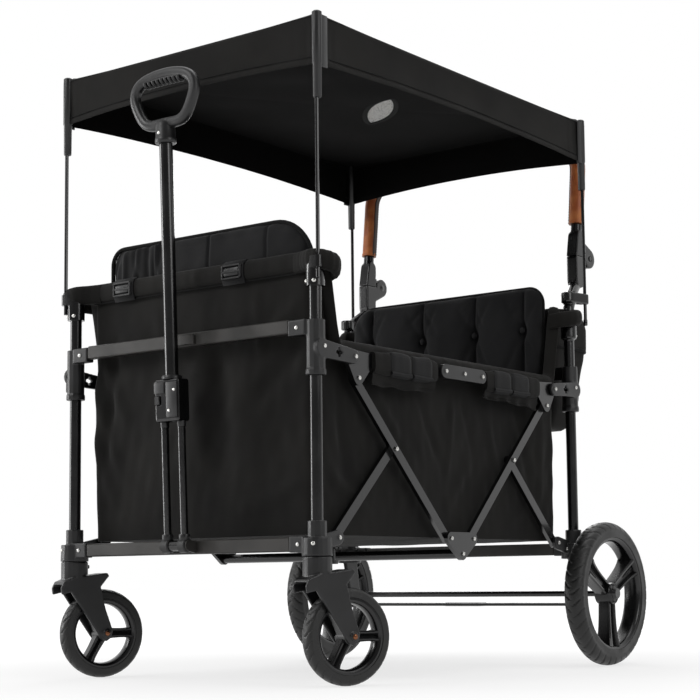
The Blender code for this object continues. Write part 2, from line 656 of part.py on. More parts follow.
def casters():
    """Swivel forks at the front with three-spoke wheels and a swivel lock on each block."""
    half_in = CASTER_W / 2 + FORK_GAP
    half_out = half_in + FORK_WALL
    for side, name in SIDES:
        x, y = side * POST_X, -POST_Y
        axle_y = y + CASTER_TRAIL
        crown = [(y + reach, z) for reach, z in (
            (0.064, 0.073), (0.068, 0.086), (0.052, 0.130), (0.043, 0.168), (0.060, 0.188), (0.056, 0.194),
            (-0.012, CROWN_TOP - 0.005), (-0.030, 0.178), (-0.036, 0.166), (-0.034, 0.154), (-0.016, 0.158),
            (0.040, 0.078), (0.046, 0.070), (0.055, 0.067))]
        body = plate(crown, x - half_out, x + half_out)
        barrel = rod((x, y, CROWN_TOP - 0.014), (x, y, FOOT_Z - SEAT), BARREL_R, 18)
        slot = block((x - half_in, y - 0.2, -0.05), (x + half_in, y + 0.3, CROWN_Z))
        bolt = rod((x - half_out - 0.002, axle_y, CASTER_Z), (x + half_out + 0.002, axle_y, CASTER_Z), 0.004, 10)
        bolt_heads = [rod((x + s * (half_out - 0.001), axle_y, CASTER_Z),
                          (x + s * (half_out + 0.0035), axle_y, CASTER_Z), 0.0075, 12) for s in (-1, 1)]
        solid(f"caster_fork_{name}", "nylon", f"caster_{name}", [body, barrel], [slot], [bolt] + bolt_heads)
        half = CASTER_W / 2
        shoulder = CASTER_R - 0.0035
        inner = CASTER_RIM_R - 0.009
        tyre = turned([(-half, CASTER_RIM_R), (-half, shoulder - 0.004), (-half + 0.007, CASTER_R),
                       (half - 0.007, CASTER_R), (half, shoulder - 0.004), (half, CASTER_RIM_R),
                       (half - 0.003, inner), (-half + 0.003, inner)], (x, axle_y, CASTER_Z), CASTER_SIDES)
        hub = rod((x - half - 0.001, axle_y, CASTER_Z), (x + half + 0.001, axle_y, CASTER_Z), 0.014, 16)
        spokes = spoke_plates((x, axle_y, CASTER_Z), 0.008, inner + 0.003, 0.012, 0.008, 0.010, 3, 0)
        bore = rod((x - 0.05, axle_y, CASTER_Z), (x + 0.05, axle_y, CASTER_Z), 0.004 + SEAT, 10)
        solid(f"caster_wheel_{name}", "rubber", f"caster_wheel_{name}", [tyre, hub] + spokes, [bore])
        lock_y = y + rest_height(FOOT_R, 18) + SEAT
        inner, outer = side * (POST_X + 0.0005), side * (POST_X + 0.0135)
        solid(f"caster_lock_{name}", "nylon", f"caster_lock_{name}",
              [block((inner, lock_y, FOOT_Z - 0.012), (outer, lock_y + 0.006, FOOT_Z + 0.012), 0.001),
               block((inner - side * 0.0005, lock_y + 0.003, FOOT_Z - 0.0128),
                     (outer + side * 0.001, lock_y + 0.013, FOOT_Z - 0.006), 0.001)])


def rear_wheels():
    """Large wheels: a tyre on a rim with three forked spokes, on one axle across the wagon."""
    half = TYRE_W / 2
    for side, name in SIDES:
        centre = (side * WHEEL_X, WHEEL_Y, AXLE_Z)
        crest = TYRE_R
        tyre = [(-0.015, RIM_R + SEAT), (-half, RIM_R + 0.010), (-half + 0.004, crest - 0.006), (-0.010, crest),
                (0.010, crest), (half - 0.004, crest - 0.006), (half, RIM_R + 0.010), (0.015, RIM_R + SEAT)]
        solid(f"rear_tyre_{name}", "rubber", f"rear_wheel_{name}", [turned(tyre, centre, TYRE_SIDES)])
        inner = RIM_R - RIM_WALL
        rim = turned([(-0.0155, RIM_R), (0.0155, RIM_R), (0.0155, RIM_R - 0.004), (0.012, inner), (-0.012, inner),
                      (-0.0155, RIM_R - 0.004)], centre, TYRE_SIDES)
        x, y, z = centre
        hub = rod((x - 0.020, y, z), (x + 0.020, y, z), WHEEL_HUB_R, 18)
        spokes = spoke_plates(centre, 0.012, inner * 0.62, 0.014, 0.011, 0.010, 3, 30)
        for k in range(3):
            trunk = radians(30) + tau * k / 3
            for lean in (-0.30, 0.30):
                near = (y + inner * 0.60 * cos(trunk), z + inner * 0.60 * sin(trunk), 0.009)
                far = (y + (inner + 0.003) * cos(trunk + lean), z + (inner + 0.003) * sin(trunk + lean), 0.007)
                spokes.append(plate(hull([near, far], 8), x - 0.009, x + 0.009))
        bore = rod((x - 0.05, y, z), (x + 0.05, y, z), AXLE_R + SEAT, 12)
        solid(f"rear_wheel_{name}", "nylon", f"rear_wheel_{name}", [rim, hub] + spokes, [bore])
    end_x = WHEEL_X + 0.020
    ends = [rod((side * (end_x + SEAT), WHEEL_Y, AXLE_Z), (side * (end_x + 0.006), WHEEL_Y, AXLE_Z), 0.014, 14, 0.010)
            for side, _ in SIDES]
    solid("rear_axle", "black_steel", "rear_end",
          [rod((-end_x - 0.003, WHEEL_Y, AXLE_Z), (end_x + 0.003, WHEEL_Y, AXLE_Z), AXLE_R, 12)] + ends)


def brake():
    """A foot bar between the wheels. Its arms turn on the axle and push a tooth to each hub."""
    arm_in = POST_X + 0.005 + RUN
    arm_out = arm_in + 0.006
    bar = (WHEEL_Y + 0.004, AXLE_Z - 0.022)
    shapes = [rod((-arm_out, *bar), (arm_out, *bar), 0.0035, 8),
              block((-0.045, bar[0] - 0.002, bar[1] - 0.004), (0.045, bar[0] + 0.030, bar[1] + 0.004), 0.002)]
    for side, _ in SIDES:
        shapes.append(plate(hull([(*bar, 0.007), (WHEEL_Y, AXLE_Z, 0.012)], 10), arm_in, arm_out, side))
        shapes.append(block((side * (arm_out - 0.001), WHEEL_Y + 0.009, AXLE_Z - 0.005),
                            (side * (WHEEL_X - 0.0215), WHEEL_Y + 0.017, AXLE_Z + 0.005)))
        shapes.append(plate(hull([(WHEEL_Y + 0.013, AXLE_Z, 0.007), (WHEEL_Y, AXLE_Z, 0.010)], 10),
                            arm_in, arm_out, side))
    bores = [rod((side * 0.28, WHEEL_Y, AXLE_Z), (side * 0.31, WHEEL_Y, AXLE_Z), AXLE_R + SEAT, 12)
             for side, _ in SIDES]
    solid("brake_bar", "black_steel", "brake", shapes, bores)


def pull_handle():
    """Twin lower tubes hinged on the lower bar, a clamp, and an upper tube that slides into it."""
    hinge_half = YOKE_SPREAD + YOKE_TUBE_R + 0.0008
    tubes = [rod((side * YOKE_SPREAD, YOKE_Y, YOKE_Z), (side * YOKE_SPREAD, YOKE_Y, CLAMP_LOW + 0.020),
                 YOKE_TUBE_R, 14) for side, _ in SIDES]
    base = rod((-hinge_half, YOKE_Y, YOKE_Z), (hinge_half, YOKE_Y, YOKE_Z), 0.0095, 14)
    clamp = block((-CLAMP_HALF, YOKE_Y - 0.0165, CLAMP_LOW), (CLAMP_HALF, YOKE_Y + 0.0145, CLAMP_TOP), 0.003)
    button_hole = block((-0.026, YOKE_Y - 0.03, CLAMP_LOW + 0.030), (-0.014, YOKE_Y - 0.0105, CLAMP_LOW + 0.046))
    well = rod((0, YOKE_Y, CLAMP_LOW - 0.01), (0, YOKE_Y, CLAMP_TOP + 0.01), PULL_TUBE_R + SEAT, 16)
    solid("pull_handle_yoke", "black_steel", "pull_handle", [clamp, base] + tubes, [button_hole, well])
    solid("handle_button", "nylon", "handle_button",
          [block((-0.026 + SEAT, YOKE_Y - 0.0195, CLAMP_LOW + 0.030 + SEAT),
                 (-0.014 - SEAT, YOKE_Y - 0.0145, CLAMP_LOW + 0.046 - SEAT), 0.001)])
    solid("pull_handle_tube", "black_steel", "pull_slide",
          [rod((0, YOKE_Y, CLAMP_LOW + 0.006), (0, YOKE_Y, PULL_TOP), PULL_TUBE_R, 16)])
    top = PULL_TOP + SEAT + 0.018 + GRIP_H
    half = GRIP_W
    foot = PULL_TOP + 0.030
    corners = [(0.012, YOKE_Y, foot), (half * 0.97, YOKE_Y, foot + 0.048), (half, YOKE_Y, top),
               (-half, YOKE_Y, top), (-half * 0.97, YOKE_Y, foot + 0.048), (-0.012, YOKE_Y, foot)]
    path = [Vector(corners[0])]
    for k in range(1, len(corners) - 1):
        radius = 0.016 if k in (2, 3) else 0.022
        path += corner_arc(corners[k - 1], corners[k], corners[k + 1], radius, 3)
    path.append(Vector(corners[-1]))
    ring = bent_rod(path, 0.0085, 8)
    socket = rod((0, YOKE_Y, PULL_TOP + SEAT), (0, YOKE_Y, foot + 0.014), 0.0185, 16, 0.021)
    bar = rod((-half + 0.020, YOKE_Y, top), (half - 0.020, YOKE_Y, top), 0.0125, 14)
    solid("pull_handle_grip", "nylon", "pull_slide", [socket, ring, bar])


def push_handle():
    """A leather-covered U on two hinge hubs that let it fold back and down behind the wagon."""

    def upright(z):
        return PUSH_ROOT_Y + (PUSH_TOP_Y - PUSH_ROOT_Y) * (z - PUSH_Z) / (PUSH_TOP_Z - PUSH_Z)

    for side, name in SIDES:
        hub_top = LEATHER_Z - 0.030
        hub = plate(hull([(PUSH_ROOT_Y, PUSH_Z, HUB_R), (upright(hub_top), hub_top, HUB_R - 0.003)], 16),
                    PUSH_X - HUB_HALF, PUSH_X + HUB_HALF, side)
        neck = bent_rod([(side * PUSH_X, upright(z), z) for z in (hub_top - 0.006, LEATHER_Z - 0.012, LEATHER_Z)],
                        HUB_HALF - 0.0005, 12)
        ear = plate(hull([(PUSH_Y, PUSH_Z, HUB_EAR_R), (PUSH_ROOT_Y + 0.008, PUSH_Z + 0.022, 0.014)], 18),
                    PUSH_X + HUB_STEP + RUN, PUSH_X + HUB_HALF, side)
        bore = pin(side, 1, (PUSH_Y, PUSH_Z), PUSH_X - 0.03, PUSH_X + 0.03, HUB_PIN_R + 2 * SEAT)
        below = block((side * (PUSH_X - 0.03), PUSH_ROOT_Y - 0.03, PUSH_Z - 0.05),
                           (side * (PUSH_X + 0.03), PUSH_Y - HUB_EAR_R, PUSH_Z + SEAT / 2))
        solid(f"push_hub_{name}", "nylon", "push_handle", [hub, neck, ear], [below, bore])
    corner_l = (PUSH_X, PUSH_TOP_Y, PUSH_TOP_Z)
    corner_r = (-PUSH_X, PUSH_TOP_Y, PUSH_TOP_Z)
    first = (PUSH_X, upright(LEATHER_Z + SEAT), LEATHER_Z + SEAT)
    last = (-PUSH_X, first[1], first[2])
    path = [Vector(first)] + corner_arc(first, corner_l, corner_r, PUSH_CORNER)
    path += corner_arc(corner_l, corner_r, last, PUSH_CORNER) + [Vector(last)]
    solid("leather_grip", "leather", "push_handle", [bent_rod(path, PUSH_R, 12)])


def poles():
    """Thin canopy poles, from the caps up to the canopy's corner sleeves."""
    for side, name in SIDES:
        for end, end_name, y, low in ((-1, "front", CANOPY_FRONT, FRONT_POLE_Z), (1, "rear", CANOPY_REAR, REAR_POLE_Z)):
            solid(f"canopy_pole_{end_name}_{name}", "black_steel", f"{end_name}_end",
                  [rod((side * CANOPY_X, end * y, low), (side * CANOPY_X, end * y, CANOPY_SLEEVE_Z - SEAT), POLE_R, 8)])


def even(count):
    """Shares that cut a straight run into equal parts."""
    return [k / count for k in range(1, count)]


def round_rect(half_x, low_y, high_y, corner, shares, per_corner):
    """Points of a rounded rectangle, counterclockwise, as (x, y, nx, ny)."""
    points = []
    centres = [(half_x - corner, high_y - corner, 0), (-half_x + corner, high_y - corner, 1),
               (-half_x + corner, low_y + corner, 2), (half_x - corner, low_y + corner, 3)]
    for index, (cx, cy, quarter) in enumerate(centres):
        for k in range(per_corner + 1):
            angle = pi / 2 * (quarter + k / per_corner)
            points.append((cx + corner * cos(angle), cy + corner * sin(angle), cos(angle), sin(angle)))
        nx, ny, _ = centres[(index + 1) % 4]
        end_angle = pi / 2 * (quarter + 1)
        start = Vector(points[-1][:2])
        stop = Vector((nx, ny)) + Vector((cos(end_angle), sin(end_angle))) * corner
        for share in shares[index % 2]:
            p = start.lerp(stop, share)
            points.append((p.x, p.y, cos(end_angle), sin(end_angle)))
    return points


def smooth_step(a, b, t):
    t = min(max((t - a) / (b - a), 0.0), 1.0)
    return t * t * (3 - 2 * t)


def tub():
    """The hanging cloth body: high padded ends, low sides, soft folds, open at the top."""
    long_side = [TUB_STEP] + [TUB_STEP + (1 - 2 * TUB_STEP) * share for share in even(9)] + [1 - TUB_STEP]
    edge = round_rect(TUB_X, -TUB_Y, TUB_Y, TUB_CORNER, (even(7), long_side), 2)
    rows = (0.0, 0.12, 0.42, 0.75, 1.0)

    def wall(offset):
        rings = []
        for row in rows:
            ring = []
            for x, y, nx, ny in edge:
                top = TUB_SIDE_Z + (TUB_END_Z - TUB_SIDE_Z) * smooth_step(TUB_Y * 0.89, TUB_Y * 0.95, abs(y))
                z = TUB_Z + (top - HEM_H - TUB_Z) * row
                fold = 0.0035 * sin(pi * row) * sin(26 * y + 7 * row) * abs(nx)
                fold += 0.003 * sin(pi * row) * sin(30 * x + 5 * row) * abs(ny)
                out = fold - offset - 0.004 * (1 - row) ** 2
                ring.append((x + nx * out, y + ny * out, z + (offset if row == 0 else 0.0)))
            rings.append(ring)
        for rise, swell in ((0.15, 0.9), (0.85, 0.9)):
            ring = []
            for x, y, nx, ny in edge:
                top = TUB_SIDE_Z + (TUB_END_Z - TUB_SIDE_Z) * smooth_step(TUB_Y * 0.89, TUB_Y * 0.95, abs(y))
                side_out = HEM_SIDE * swell if offset == 0 else -offset
                end_out = HEM_OUT * swell if offset == 0 else -offset
                ring.append((x + nx * side_out, y + ny * end_out, top - HEM_H + HEM_H * rise))
            rings.append(ring)
        return rings

    outer = wall(0.0)
    inner = wall(TUB_WALL)
    solid("tub", "canvas", "front_end", [skin(outer + inner[::-1])])


def canopy():
    """A cloth roof with a valance all round and a round sleeve at each corner for its pole."""
    edge = round_rect(CANOPY_X + 0.002, -CANOPY_FRONT, CANOPY_REAR, 0.012, (even(6), even(6)), 2)
    middle = (CANOPY_REAR - CANOPY_FRONT) / 2
    half_y = (CANOPY_REAR + CANOPY_FRONT) / 2

    def shell(offset):
        rings = []
        for row in (0.0, 0.5, 1.0):
            ring = []
            for x, y, nx, ny in edge:
                across = 1 - (x / CANOPY_X) ** 2 if abs(ny) > 0.9 else 1 - ((y - middle) / half_y) ** 2
                arch = VALANCE_ARCH * max(across, 0) * (1 - row)
                low = VALANCE_Z + arch
                inward = offset + 0.004 * max(across, 0) * sin(pi * row / 2)
                ring.append((x - nx * inward, y - ny * inward, low + (CANOPY_TOP - 0.006 - low) * row))
            rings.append(ring)
        for scale in (0.985, 0.6):
            sag = 0.004 * (1 - scale)
            rings.append([(x * scale - nx * offset, middle + (y - middle) * scale - ny * offset,
                           CANOPY_TOP - sag - offset) for x, y, nx, ny in edge])
        return rings

    outer = shell(0.0)
    inner = shell(CANOPY_WALL)
    bm = bmesh.new()
    rows = [[bm.verts.new(p) for p in ring] for ring in outer]
    rows_in = [[bm.verts.new(p) for p in ring] for ring in inner]
    count = len(edge)
    for grid in (rows, rows_in):
        for a, b in zip(grid, grid[1:]):
            for k in range(count):
                bm.faces.new((a[k], a[(k + 1) % count], b[(k + 1) % count], b[k]))
        bm.faces.new(grid[-1])
    for k in range(count):
        nxt = (k + 1) % count
        bm.faces.new((rows[0][k], rows[0][nxt], rows_in[0][nxt], rows_in[0][k]))
    sleeves = [rod((side * CANOPY_X, y, CANOPY_SLEEVE_Z), (side * CANOPY_X, y, CANOPY_TOP - 0.008), CANOPY_SLEEVE_R, 10)
               for side, _ in SIDES for y in (-CANOPY_FRONT + 0.002, CANOPY_REAR - 0.002)]
    solid("canopy", "canvas", "front_end", [bm] + sleeves)


def pad(name, body, centre, across, up, normal, front_t, back_t, columns, channels, power=5.0):
    """A padded panel: rounded outline, crowned face with sewn channels, sides drawn in."""
    nx, nz = columns
    across, up, normal = Vector(across), Vector(up), Vector(normal)
    bm = bmesh.new()

    def fullness(u, v):
        swell = (1 - abs(u) ** power) * (1 - abs(v) ** power)
        if channels:
            swell *= 0.62 + 0.38 * abs(sin(pi * channels * (u + 1) / 2)) ** 0.7
        return max(swell, 0.0) ** 0.5

    faces = []
    for sign, thick in ((1, front_t), (-1, back_t)):
        grid = []
        for j in range(nz + 1):
            v = 2 * j / nz - 1
            row = []
            for i in range(nx + 1):
                u = 2 * i / nx - 1
                pull = 1 - 0.09 * (u * v) ** 4
                p = Vector(centre) + across * (u * pull) + up * (v * pull) + normal * (sign * thick * fullness(u, v))
                row.append(p)
            grid.append(row)
        faces.append(grid)
    front, back = faces
    verts_front = [[bm.verts.new(p) for p in row] for row in front]
    verts_back = [[verts_front[j][i] if i in (0, nx) or j in (0, nz) else bm.verts.new(back[j][i])
                   for i in range(nx + 1)] for j in range(nz + 1)]
    for j in range(nz):
        for i in range(nx):
            for grid in (verts_front, verts_back):
                corners = (grid[j][i], grid[j][i + 1], grid[j + 1][i + 1], grid[j + 1][i])
                if grid is verts_back:
                    corners = corners[::-1]
                bm.faces.new(corners)
    return solid(name, "canvas", body, [bm])


def seats():
    """Two padded backs that face each other, and the seats that swing up against them."""
    for end, end_name, top, y_mid in ((-1, "front", FRONT_BACK_TOP, FRONT_BACK_Y), (1, "rear", REAR_BACK_TOP, REAR_BACK_Y)):
        height = (top - BACK_Z) / 2
        pad(f"{end_name}_seat_back", f"{end_name}_end", (0, end * y_mid, BACK_Z + height), (BACK_X, 0, 0),
            (0, 0, height), (0, -end, 0), BACK_T * 0.65, BACK_T * 0.35, (16, 7), 4, 8.0)
        seat_y = SEAT_HINGE_Y - 0.004 - SEAT_DEPTH / 2
        pad(f"{end_name}_seat_cushion", f"{end_name}_seat", (0, end * seat_y, SEAT_TOP - SEAT_T * 0.55),
            (SEAT_X, 0, 0), (0, SEAT_DEPTH / 2, 0), (0, 0, 1), SEAT_T * 0.5, SEAT_T * 0.45, (10, 6), 0, 8.0)


def storage_bag():
    """A soft bag that hangs behind the rear end, narrower at its foot."""
    near = TUB_Y + HEM_OUT + SEAT
    rings = []
    for share, width, depth in ((0, 0.90, 0.45), (0.05, 0.96, 0.62), (0.30, 1.0, 0.80),
                                (0.57, 1.0, 1.0), (0.92, 0.99, 0.98), (1, 0.95, 0.85)):
        z = BAG_Z + (BAG_TOP - BAG_Z) * share
        base = BAR_Y + BAR_D / 2 + SEAT if z < TUB_END_Z - HEM_H - 0.03 else near
        base = max(base, BAR_Y + BAR_D / 2 + SEAT)
        points = round_rect(BAG_X * width, base, base + BAG_D * depth, 0.016, (even(2), even(4)), 3)
        rings.append([(x, y, z) for x, y, _, _ in points])
    solid("storage_bag", "canvas", "rear_end", [skin(rings)])


clear_scene()
bodies()
posts()
feet()
cross_bars()
collars()
side_links()
cross_tube()
casters()
rear_wheels()
brake()
pull_handle()
push_handle()
poles()
tub()
canopy()
seats()
storage_bag()
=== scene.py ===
# %% [markdown]
# # A folding two-seat wagon, dressed for its portrait
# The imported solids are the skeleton: posts, links, wheels and hubs stand where the real ones do.
# This script loads them as a fixed frame, gives each a real finish, and builds the soft parts and
# the small parts that the solids leave out. Everything is in metres, with the front facing -Y.

from math import cos, pi, radians, sin, tau

import bmesh
import bpy
import numpy as np
from mathutils import Matrix, Vector


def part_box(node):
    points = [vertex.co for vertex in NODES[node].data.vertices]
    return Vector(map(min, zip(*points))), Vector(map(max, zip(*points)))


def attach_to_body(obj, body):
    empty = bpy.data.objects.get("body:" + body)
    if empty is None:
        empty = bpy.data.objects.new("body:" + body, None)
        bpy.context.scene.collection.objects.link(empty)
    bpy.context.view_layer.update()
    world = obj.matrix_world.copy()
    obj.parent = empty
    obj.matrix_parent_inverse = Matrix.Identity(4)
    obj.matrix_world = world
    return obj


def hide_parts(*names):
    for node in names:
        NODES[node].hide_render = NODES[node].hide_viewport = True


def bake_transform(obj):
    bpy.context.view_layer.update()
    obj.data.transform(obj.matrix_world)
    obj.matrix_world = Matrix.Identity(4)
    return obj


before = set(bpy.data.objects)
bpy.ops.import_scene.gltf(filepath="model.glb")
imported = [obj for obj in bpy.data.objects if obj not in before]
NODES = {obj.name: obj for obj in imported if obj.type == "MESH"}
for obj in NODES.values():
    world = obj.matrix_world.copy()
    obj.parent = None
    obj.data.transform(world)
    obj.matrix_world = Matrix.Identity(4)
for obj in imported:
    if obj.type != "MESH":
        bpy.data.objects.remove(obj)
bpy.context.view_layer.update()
SCENE = bpy.context.scene

# %% [markdown]
# ## Where things are
# The wagon was drawn with its posts symmetric about the middle. The whole was then moved, so that
# the origin lies under the middle of its full length. The axle tells how far. Every piece below is
# drawn in that drawing and moved once. The side linkage lies in flat layers, counted outward.

# %% Places and sizes, in metres
SIDES = ((1, "left"), (-1, "right"))
ENDS = ((-1, "front"), (1, "rear"))
POST_X, POST_Y, POLE_X = 0.290, 0.420, 0.306
REAR_WHEEL_X, AXLE_Y = 0.355, 0.435
LINK_X, LINK_T, LINK_RUN, HEAD_T = 0.2735, 0.008, 0.0004, 0.002
axle_low, axle_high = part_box("rear_axle")
MOVED_Y = (axle_low.y + axle_high.y) / 2 - AXLE_Y
print("the drawing was moved by", round(MOVED_Y * 1000, 2), "mm")


def layer_out(number):
    """Outer face of one layer of the side linkage."""
    return LINK_X + number * (LINK_T + LINK_RUN) + LINK_T


# %% [markdown]
# ## Helpers for materials
# Colours are written as they look on a screen, and a shader wants them linear. Nodes are added by
# one function, which sets the node's options and links or fills its inputs.

# %% Colour and node helpers
def colour(code):
    """A screen colour such as #8a4a2a as the linear values that a shader takes."""
    parts = [int(code[i:i + 2], 16) / 255 for i in (1, 3, 5)]
    return (*(c / 12.92 if c <= 0.04045 else ((c + 0.055) / 1.055) ** 2.4 for c in parts), 1.0)


def add(tree, kind, inputs=None, **options):
    """Add a node, set its options, and link or fill its inputs by name or number."""
    node = tree.nodes.new(kind)
    for key, value in options.items():
        setattr(node, key, value)
    for key, value in (inputs or {}).items():
        socket = node.inputs[key]
        if isinstance(value, bpy.types.NodeSocket):
            tree.links.new(value, socket)
        else:
            socket.default_value = value
    return node


def new_material(name, roughness, **constants):
    """A material with one principled shader, its constants set on the shader itself."""
    mat = bpy.data.materials.new(name)
    mat.use_nodes = True
    shader = mat.node_tree.nodes["Principled BSDF"]
    shader.inputs["Roughness"].default_value = roughness
    for key, value in constants.items():
        shader.inputs[key.replace("_", " ")].default_value = value
    return mat, mat.node_tree, shader


def mottle(tree, shader, scale, dark, light):
    """Two shades that drift into each other over patches of about 1 / scale metres."""
    place = add(tree, "ShaderNodeTexCoord").outputs["Object"]
    noise = add(tree, "ShaderNodeTexNoise", {"Vector": place, "Scale": scale, "Detail": 3.0})
    share = add(tree, "ShaderNodeMapRange", {0: noise.outputs[0], 1: 0.35, 2: 0.65}).outputs[0]
    mix = add(tree, "ShaderNodeMix", {0: share, 6: colour(dark), 7: colour(light)}, data_type="RGBA")
    tree.links.new(mix.outputs[2], shader.inputs["Base Color"])
    return share, place


# %% [markdown]
# ## Woven polyester
# The wagon's cloth is a tight polyester weave with a thin backing: matt, nearly black, with a
# soft sheen where it turns away. A real thread is under half a millimetre, too fine for the
# picture, so the weave is drawn at 1.1 mm. Three crossed sine waves give threads on any wall,
# whichever way it faces, without a UV map.

# %% Cloth materials
def woven(name, dark, light, thread, depth, roughness=0.85, sheen=0.06, shine=0.2):
    """A cloth in two close shades, with threads of a given width and depth."""
    mat, tree, shader = new_material(name, roughness, Sheen_Weight=sheen, Sheen_Roughness=0.45,
                                     Specular_IOR_Level=shine)
    _, place = mottle(tree, shader, 9.0, dark, light)
    scaled = add(tree, "ShaderNodeVectorMath", {0: place, "Scale": pi / thread}, operation="SCALE")
    waves = add(tree, "ShaderNodeVectorMath", {0: scaled.outputs[0]}, operation="SINE")
    x, y, z = add(tree, "ShaderNodeSeparateXYZ", {0: waves.outputs[0]}).outputs
    pairs = [add(tree, "ShaderNodeMath", {0: a, 1: b}, operation="MULTIPLY").outputs[0]
             for a, b in ((x, y), (y, z), (z, x))]
    two = add(tree, "ShaderNodeMath", {0: pairs[0], 1: pairs[1]}, operation="ADD")
    weave = add(tree, "ShaderNodeMath", {0: two.outputs[0], 1: pairs[2]}, operation="ADD")
    bump = add(tree, "ShaderNodeBump", {"Height": weave.outputs[0], "Strength": 0.25, "Distance": depth})
    slubs = add(tree, "ShaderNodeTexNoise", {"Vector": place, "Scale": 160.0, "Detail": 4.0})
    bump = add(tree, "ShaderNodeBump", {"Height": slubs.outputs[0], "Strength": 0.18, "Distance": 0.0004,
                                        "Normal": bump.outputs[0]})
    tree.links.new(bump.outputs[0], shader.inputs["Normal"])
    return mat


# Warm black and dead matt, as the tub and canopy are.
CANVAS = woven("Woven polyester matt black", "#131211", "#1c1b19", 0.0011, 0.0003)
# A finer, cooler weave that catches a soft edge light on the pads.
PADDING = woven("Woven polyester padded", "#161617", "#202021", 0.0009, 0.0002, sheen=0.12)
# Painted shade: the canopy's inside is drawn in the deepest black, darker than the cloth outside, so that the
# roof's underside looks shaded.
PAINTED_SHADE_UNDERSIDE = woven("Woven polyester with painted underside shade", "#0a0a09", "#100f0f", 0.0011, 0.0003, sheen=0.02, shine=0.06)
# Coarse ribs that glint a little on straps and tabs.
WEBBING = woven("Nylon webbing black", "#111112", "#1a1a1b", 0.0018, 0.0005, roughness=0.7)
# Dull tape that draws a dark line along each edge.
TRIM = woven("Grosgrain binding", "#0d0d0d", "#151515", 0.0014, 0.0004, roughness=0.9, sheen=0.03)

# %% [markdown]
# ## Lacquered steel, powder coat, nylon, rubber and leather
# Round tubes are dipped in gloss black lacquer. Lacquer flows, so it has a faint orange peel and
# sharp reflections. The flat bars are a warm graphite powder coat. The moulded nylon has the fine
# grain of a spark-eroded mould, and the tyres are satin rubber. The push handle is wrapped in
# smooth cognac leather with pores about a millimetre across and a low wax shine.

# %% Hard materials and leather
def grained(name, dark, light, roughness, grain, depth, strength=0.2, patch=14.0, spread=0.08, **constants):
    """A finish of two close shades, a surface grain, and a roughness that drifts a little."""
    mat, tree, shader = new_material(name, roughness, **constants)
    share, place = mottle(tree, shader, patch, dark, light)
    rough = add(tree, "ShaderNodeMapRange", {0: share, 3: roughness - spread, 4: roughness + spread})
    tree.links.new(rough.outputs[0], shader.inputs["Roughness"])
    pores = add(tree, "ShaderNodeTexNoise", {"Vector": place, "Scale": 1.0 / grain, "Detail": 3.0})
    bump = add(tree, "ShaderNodeBump", {"Height": pores.outputs[0], "Strength": strength, "Distance": depth})
    tree.links.new(bump.outputs[0], shader.inputs["Normal"])
    return mat


# Long thin highlights down every round tube.
LACQUER = grained("Gloss black lacquer on steel", "#060607", "#0b0b0c", 0.22, 0.004, 0.0002, 0.08,
                  spread=0.05, Coat_Weight=0.2, Coat_Roughness=0.06)
# The flat links read grey against the black cloth.
GRAPHITE = grained("Graphite powder coat on steel", "#2d2c2a", "#373533", 0.40, 0.0012, 0.0002,
                   Metallic=0.25)
# Soft broad highlights on mouldings.
NYLON = grained("Moulded nylon fine grain", "#0f0f10", "#171718", 0.40, 0.0012, 0.0002, 0.18)
# Crisper highlights on the wheels' rims and the push hubs.
GLOSS_NYLON = grained("Moulded nylon polished", "#0d0d0e", "#141415", 0.24, 0.0030, 0.0002, 0.08, spread=0.04)
# A dusty black whose cuts still show.
RUBBER = grained("Moulded rubber satin", "#131313", "#1c1c1b", 0.46, 0.0016, 0.0003, 0.22, patch=30.0)
# Small bright dots on every joint.
STEEL = grained("Bright zinc on steel", "#b9b8b4", "#d6d5d2", 0.26, 0.002, 0.0001, 0.1, Metallic=1.0)
# One warm spot in the middle of each caster.
BRASS = grained("Browned brass bolt", "#6e4632", "#9a684a", 0.34, 0.002, 0.0001, 0.15, Metallic=1.0)
# The one warm colour of the wagon, deeper in some patches than in others.
LEATHER = grained("Cognac leather waxed", "#ad5b31", "#cf7f47", 0.46, 0.0011, 0.0005, 0.35, patch=40.0,
                  Specular_IOR_Level=0.35)
# The seam's inner strip, darker than the sleeve.
LEATHER_STRIP = grained("Dark leather strip", "#24130b", "#38200f", 0.5, 0.0011, 0.0004, 0.3, patch=40.0)
# Stitches that only just show.
THREAD = grained("Waxed thread dark", "#1a120d", "#2c1d14", 0.6, 0.002, 0.0001, 0.1)
# White net with darker knots, so the window lights up in the roof.
MESH_CLOTH, mesh_tree, mesh_shader = new_material("White polyester mesh", 0.8)
mesh_place = add(mesh_tree, "ShaderNodeTexCoord").outputs["Object"]
mesh_holes = add(mesh_tree, "ShaderNodeTexVoronoi", {"Vector": mesh_place, "Scale": 330.0})
mesh_step = add(mesh_tree, "ShaderNodeMapRange", {0: mesh_holes.outputs["Distance"], 1: 0.28, 2: 0.42})
mesh_mix = add(mesh_tree, "ShaderNodeMix", {0: mesh_step.outputs[0], 6: colour("#9c9b98"),
                                            7: colour("#f2f1ee")}, data_type="RGBA")
mesh_tree.links.new(mesh_mix.outputs[2], mesh_shader.inputs["Base Color"])
FINISH_OF = {"black_steel": LACQUER, "grey_steel": GRAPHITE, "nylon": NYLON, "rubber": RUBBER, "tyre": RUBBER,
             "canvas": CANVAS, "leather": LEATHER}
print(len(bpy.data.materials), "materials")

# %% [markdown]
# ## The solids' own surfaces
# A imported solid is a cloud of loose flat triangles. Round bars were cut with few sides, so each
# solid gets a small Geometry Nodes tree that welds it and shades shallow edges smooth. Moulded
# nylon has soft corners everywhere, so those solids are re-skinned with a fine voxel mesh and
# relaxed instead. Neither changes the solid's own mesh.

